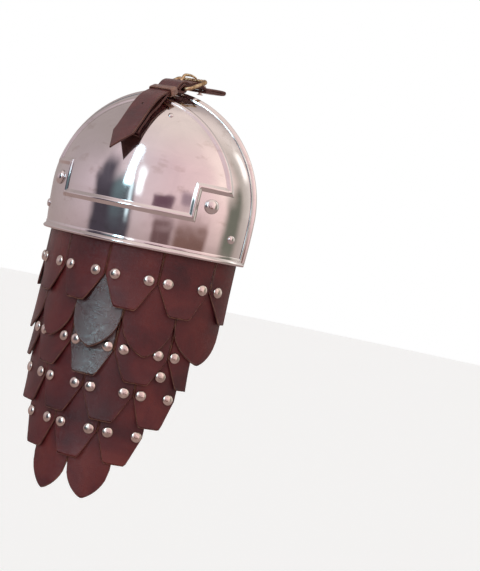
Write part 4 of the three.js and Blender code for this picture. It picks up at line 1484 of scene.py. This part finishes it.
# %% [markdown]
# ## Strap
#
# The strap comes from the neck, where its end is doubled and riveted. It passes under the
# buckle's far bar and over its near bar, and runs through the keeper to a free point that stands
# off the steel. Its path is a list of places, worked out from the bars where it touches them.
# It could be left to fall in a simulation, but it has to lie as it does on the real piece.

# %% Strap
PRONG_HOLE_AT = 7.5
SPARE_HOLE_AT = 60.0
STRAP_POINT = 23.3
# Half sizes across and along, and reach up and down.
PRONG_HOLE = (1.9, 3.6, 6)
SPARE_HOLE = (1.0, 0.8, 5)
under = FAR_BAR_AT[1] - BAR - GAP - STRAP_LEATHER / 2
over = BAR_AT[1] + BAR + 4 * GAP + 1.5 * STRAP_LEATHER
STRAP_PATH = [
    (-20, 162.6), (-34, 164), (-50, 165.4), (-52.9, 166.2), (-53.6, 167.3), (-52.8, 168.2),
    (-50, 168.3), (-34, 167.1), (-20, 165.8), (FAR_BAR_AT[0], under), (-3, under + 0.2),
    (BAR_AT[0] - 6, over - 0.6), (BAR_AT[0], over), (BAR_AT[0] + 6, over - 2.2),
    at_keeper(-6.5, strap_height), at_keeper(6, strap_height),
    above_cap(39.5, strap_height + 0.8), (79.8, 104.6), (95, 87),
]
# Numbers of the places where the free end starts, and of those beside the rivet.
FREE_END_FROM = 15
RIVET_BETWEEN = (7, 8)


def add_strap():
    length, place = bend_band(STRAP_PATH, STRAP_LEATHER)
    grid = band_grid(length, STRAP_POINT)
    piece = add_leather("strap", grid, place, STRAP_LEATHER, strap_leather, strap_leather)
    cut_through(piece, oval_tube(on_strap_line(PRONG_HOLE_AT, over), *PRONG_HOLE))
    _, points, _ = smooth_path(STRAP_PATH[FREE_END_FROM:])
    spare = points[np.argmin(np.abs(points[:, 0] - SPARE_HOLE_AT))]
    cut_through(piece, oval_tube(on_strap_line(*spare), *SPARE_HOLE, steps=12))
    low, high = (on_strap_line(*STRAP_PATH[i]) for i in RIVET_BETWEEN)
    direction = unit(np.cross(high - low, STRAP_ACROSS))
    seat = low + (high - low) * 0.55 + direction * STRAP_LEATHER / 2
    grip = 2.5 * STRAP_LEATHER + GAP + TAIL_GAP
    add_rivet("strap_rivet", seat, direction, SMALL_RIVET, grip, "nickel")
    return length


print("strap is", round(add_strap()), "mm long with its doubled end")

# %% [markdown]
# ## Buckle frame
#
# The buckle is a cast brass frame with rounded corners and a row of small teeth on the bar that
# the prong rests on. It is one bar swept round a rounded rectangle, and its thickness changes
# on the way: thicker at the far corners, with a ripple for the teeth. A curve object with a
# round bevel could do the bar, but not so easily the teeth.

# %% Buckle frame
BUCKLE_HALF_WIDTH = 17.5
BUCKLE_CORNER = 5.0
TOOTH_PITCH = 3.6
# Shares by which the bar is thicker at a tooth and at a far corner.
TOOTH, KNOB = 0.09, 0.32
KNOB_INSET, KNOB_SPREAD = 1.5, 3.0
FRAME_STEPS, FRAME_SIDES = 260, 14


def tube_faces(rings, around, closed):
    """Faces of a tube. Its ends are joined if it is closed, and capped if it isn't."""
    faces = grid_faces(rings, around, wrap_rows=closed, wrap_columns=True)
    if not closed:
        faces += [tuple(range(around))[::-1], tuple((rings - 1) * around + i for i in range(around))]
    return faces


def add_buckle_frame():
    near, far = on_strap_line(*BAR_AT), on_strap_line(*FAR_BAR_AT)
    neckward = unit(far - near)
    half = np.linalg.norm(far - near) / 2
    upward = np.cross(STRAP_ACROSS, neckward)
    corners, corner_out = rounded_rectangle(BUCKLE_HALF_WIDTH, half, BUCKLE_CORNER, 9)
    closed = np.concatenate([corners, corners[:1]])
    lengths = run_lengths(closed)
    even = np.linspace(0, lengths[-1], FRAME_STEPS, endpoint=False)
    path = at_lengths(even, lengths, closed)
    out = unit(at_lengths(even, lengths, np.concatenate([corner_out, corner_out[:1]])))
    on_far_bar = (path[:, 1] > half - 0.5) & (np.abs(path[:, 0]) < BUCKLE_HALF_WIDTH - 4)
    teeth = np.where(on_far_bar, np.cos(2 * math.pi * path[:, 0] / TOOTH_PITCH), 0)
    corner_at = np.array([BUCKLE_HALF_WIDTH, half]) - KNOB_INSET
    knob = np.exp(-np.linalg.norm(np.abs(path) - corner_at, axis=1) ** 2 / KNOB_SPREAD ** 2)
    knob = np.where(path[:, 1] > 0, knob, 0)
    radius = BAR * (1 + TOOTH * teeth + KNOB * knob)
    angle = once_round(FRAME_SIDES)
    points = []
    for (x, y), (out_x, out_y), r in zip(path, out, radius):
        centre = (near + far) / 2 + STRAP_ACROSS * x + neckward * y
        outward = STRAP_ACROSS * out_x + neckward * out_y
        ring = np.outer(r * np.cos(angle), outward) + np.outer(r * np.sin(angle), upward)
        points.append(centre + ring)
    faces = tube_faces(FRAME_STEPS, FRAME_SIDES, True)
    return add_piece(
        "buckle_frame_brass", np.concatenate(points), faces, [brass], ["buckle_frame"],
    )


print(add_buckle_frame().name)

# %% [markdown]
# ## Prong
#
# The prong is a pin with an eye that is bent round the near bar. It comes up through the slot
# in the chape and the hole in the strap, and its tip rests on the far bar. The pin is a tube
# that gets thinner toward the tip, and the eye is a ring with a section of its own. They could
# be joined with a Boolean modifier, but the eye hides where they meet, so one mesh holds both.

# %% Prong
PRONG = 1.5
PRONG_TAPER = 0.45
EYE_RADIUS = 3.9
EYE_SIDE, EYE_MIDDLE = 1.5, 2.2
PIN_SIDES, EYE_STEPS = 12, 28


def add_prong():
    top = FAR_BAR_AT[1] + BAR + GAP + PRONG
    near_s, near_z = BAR_AT
    _, path, rise = smooth_path([
        (near_s - 2.4, near_z + 1.8), (near_s - 4.6, near_z + 4.2), (near_s - 7.8, near_z + 9),
        (near_s - 11.5, top - 1.4), (near_s - 17, top - 0.1), (FAR_BAR_AT[0], top),
        (FAR_BAR_AT[0] - 5, top - 1),
    ])
    angle = once_round(PIN_SIDES)
    points = []
    for i, ((s, z), (rise_s, rise_z)) in enumerate(zip(path, rise)):
        r = PRONG * (1 - PRONG_TAPER * (i / len(path)) ** 3)
        out = r * np.sin(angle)
        points.append(on_strap_line(s + rise_s * out, z + rise_z * out, r * np.cos(angle)))
    pin_count = len(path) * PIN_SIDES
    faces = tube_faces(len(path), PIN_SIDES, False)
    inner, middle = BAR + GAP, (BAR + GAP + EYE_RADIUS) / 2
    section = [
        (inner, -EYE_SIDE), (inner, EYE_SIDE), (middle, EYE_MIDDLE),
        (EYE_RADIUS, EYE_SIDE), (EYE_RADIUS, -EYE_SIDE), (middle, -EYE_MIDDLE),
    ]
    for a in once_round(EYE_STEPS):
        points.append(np.array([
            on_strap_line(near_s + r * math.cos(a), near_z + r * math.sin(a), w) for r, w in section
        ]))
    eye = grid_faces(EYE_STEPS, len(section), wrap_rows=True, wrap_columns=True)
    faces += [tuple(i + pin_count for i in f) for f in eye]
    return add_piece(
        "buckle_prong_brass", np.concatenate(points), faces, [brass], ["buckle_prong"],
        sharp=50,
    )


print(add_prong().name)
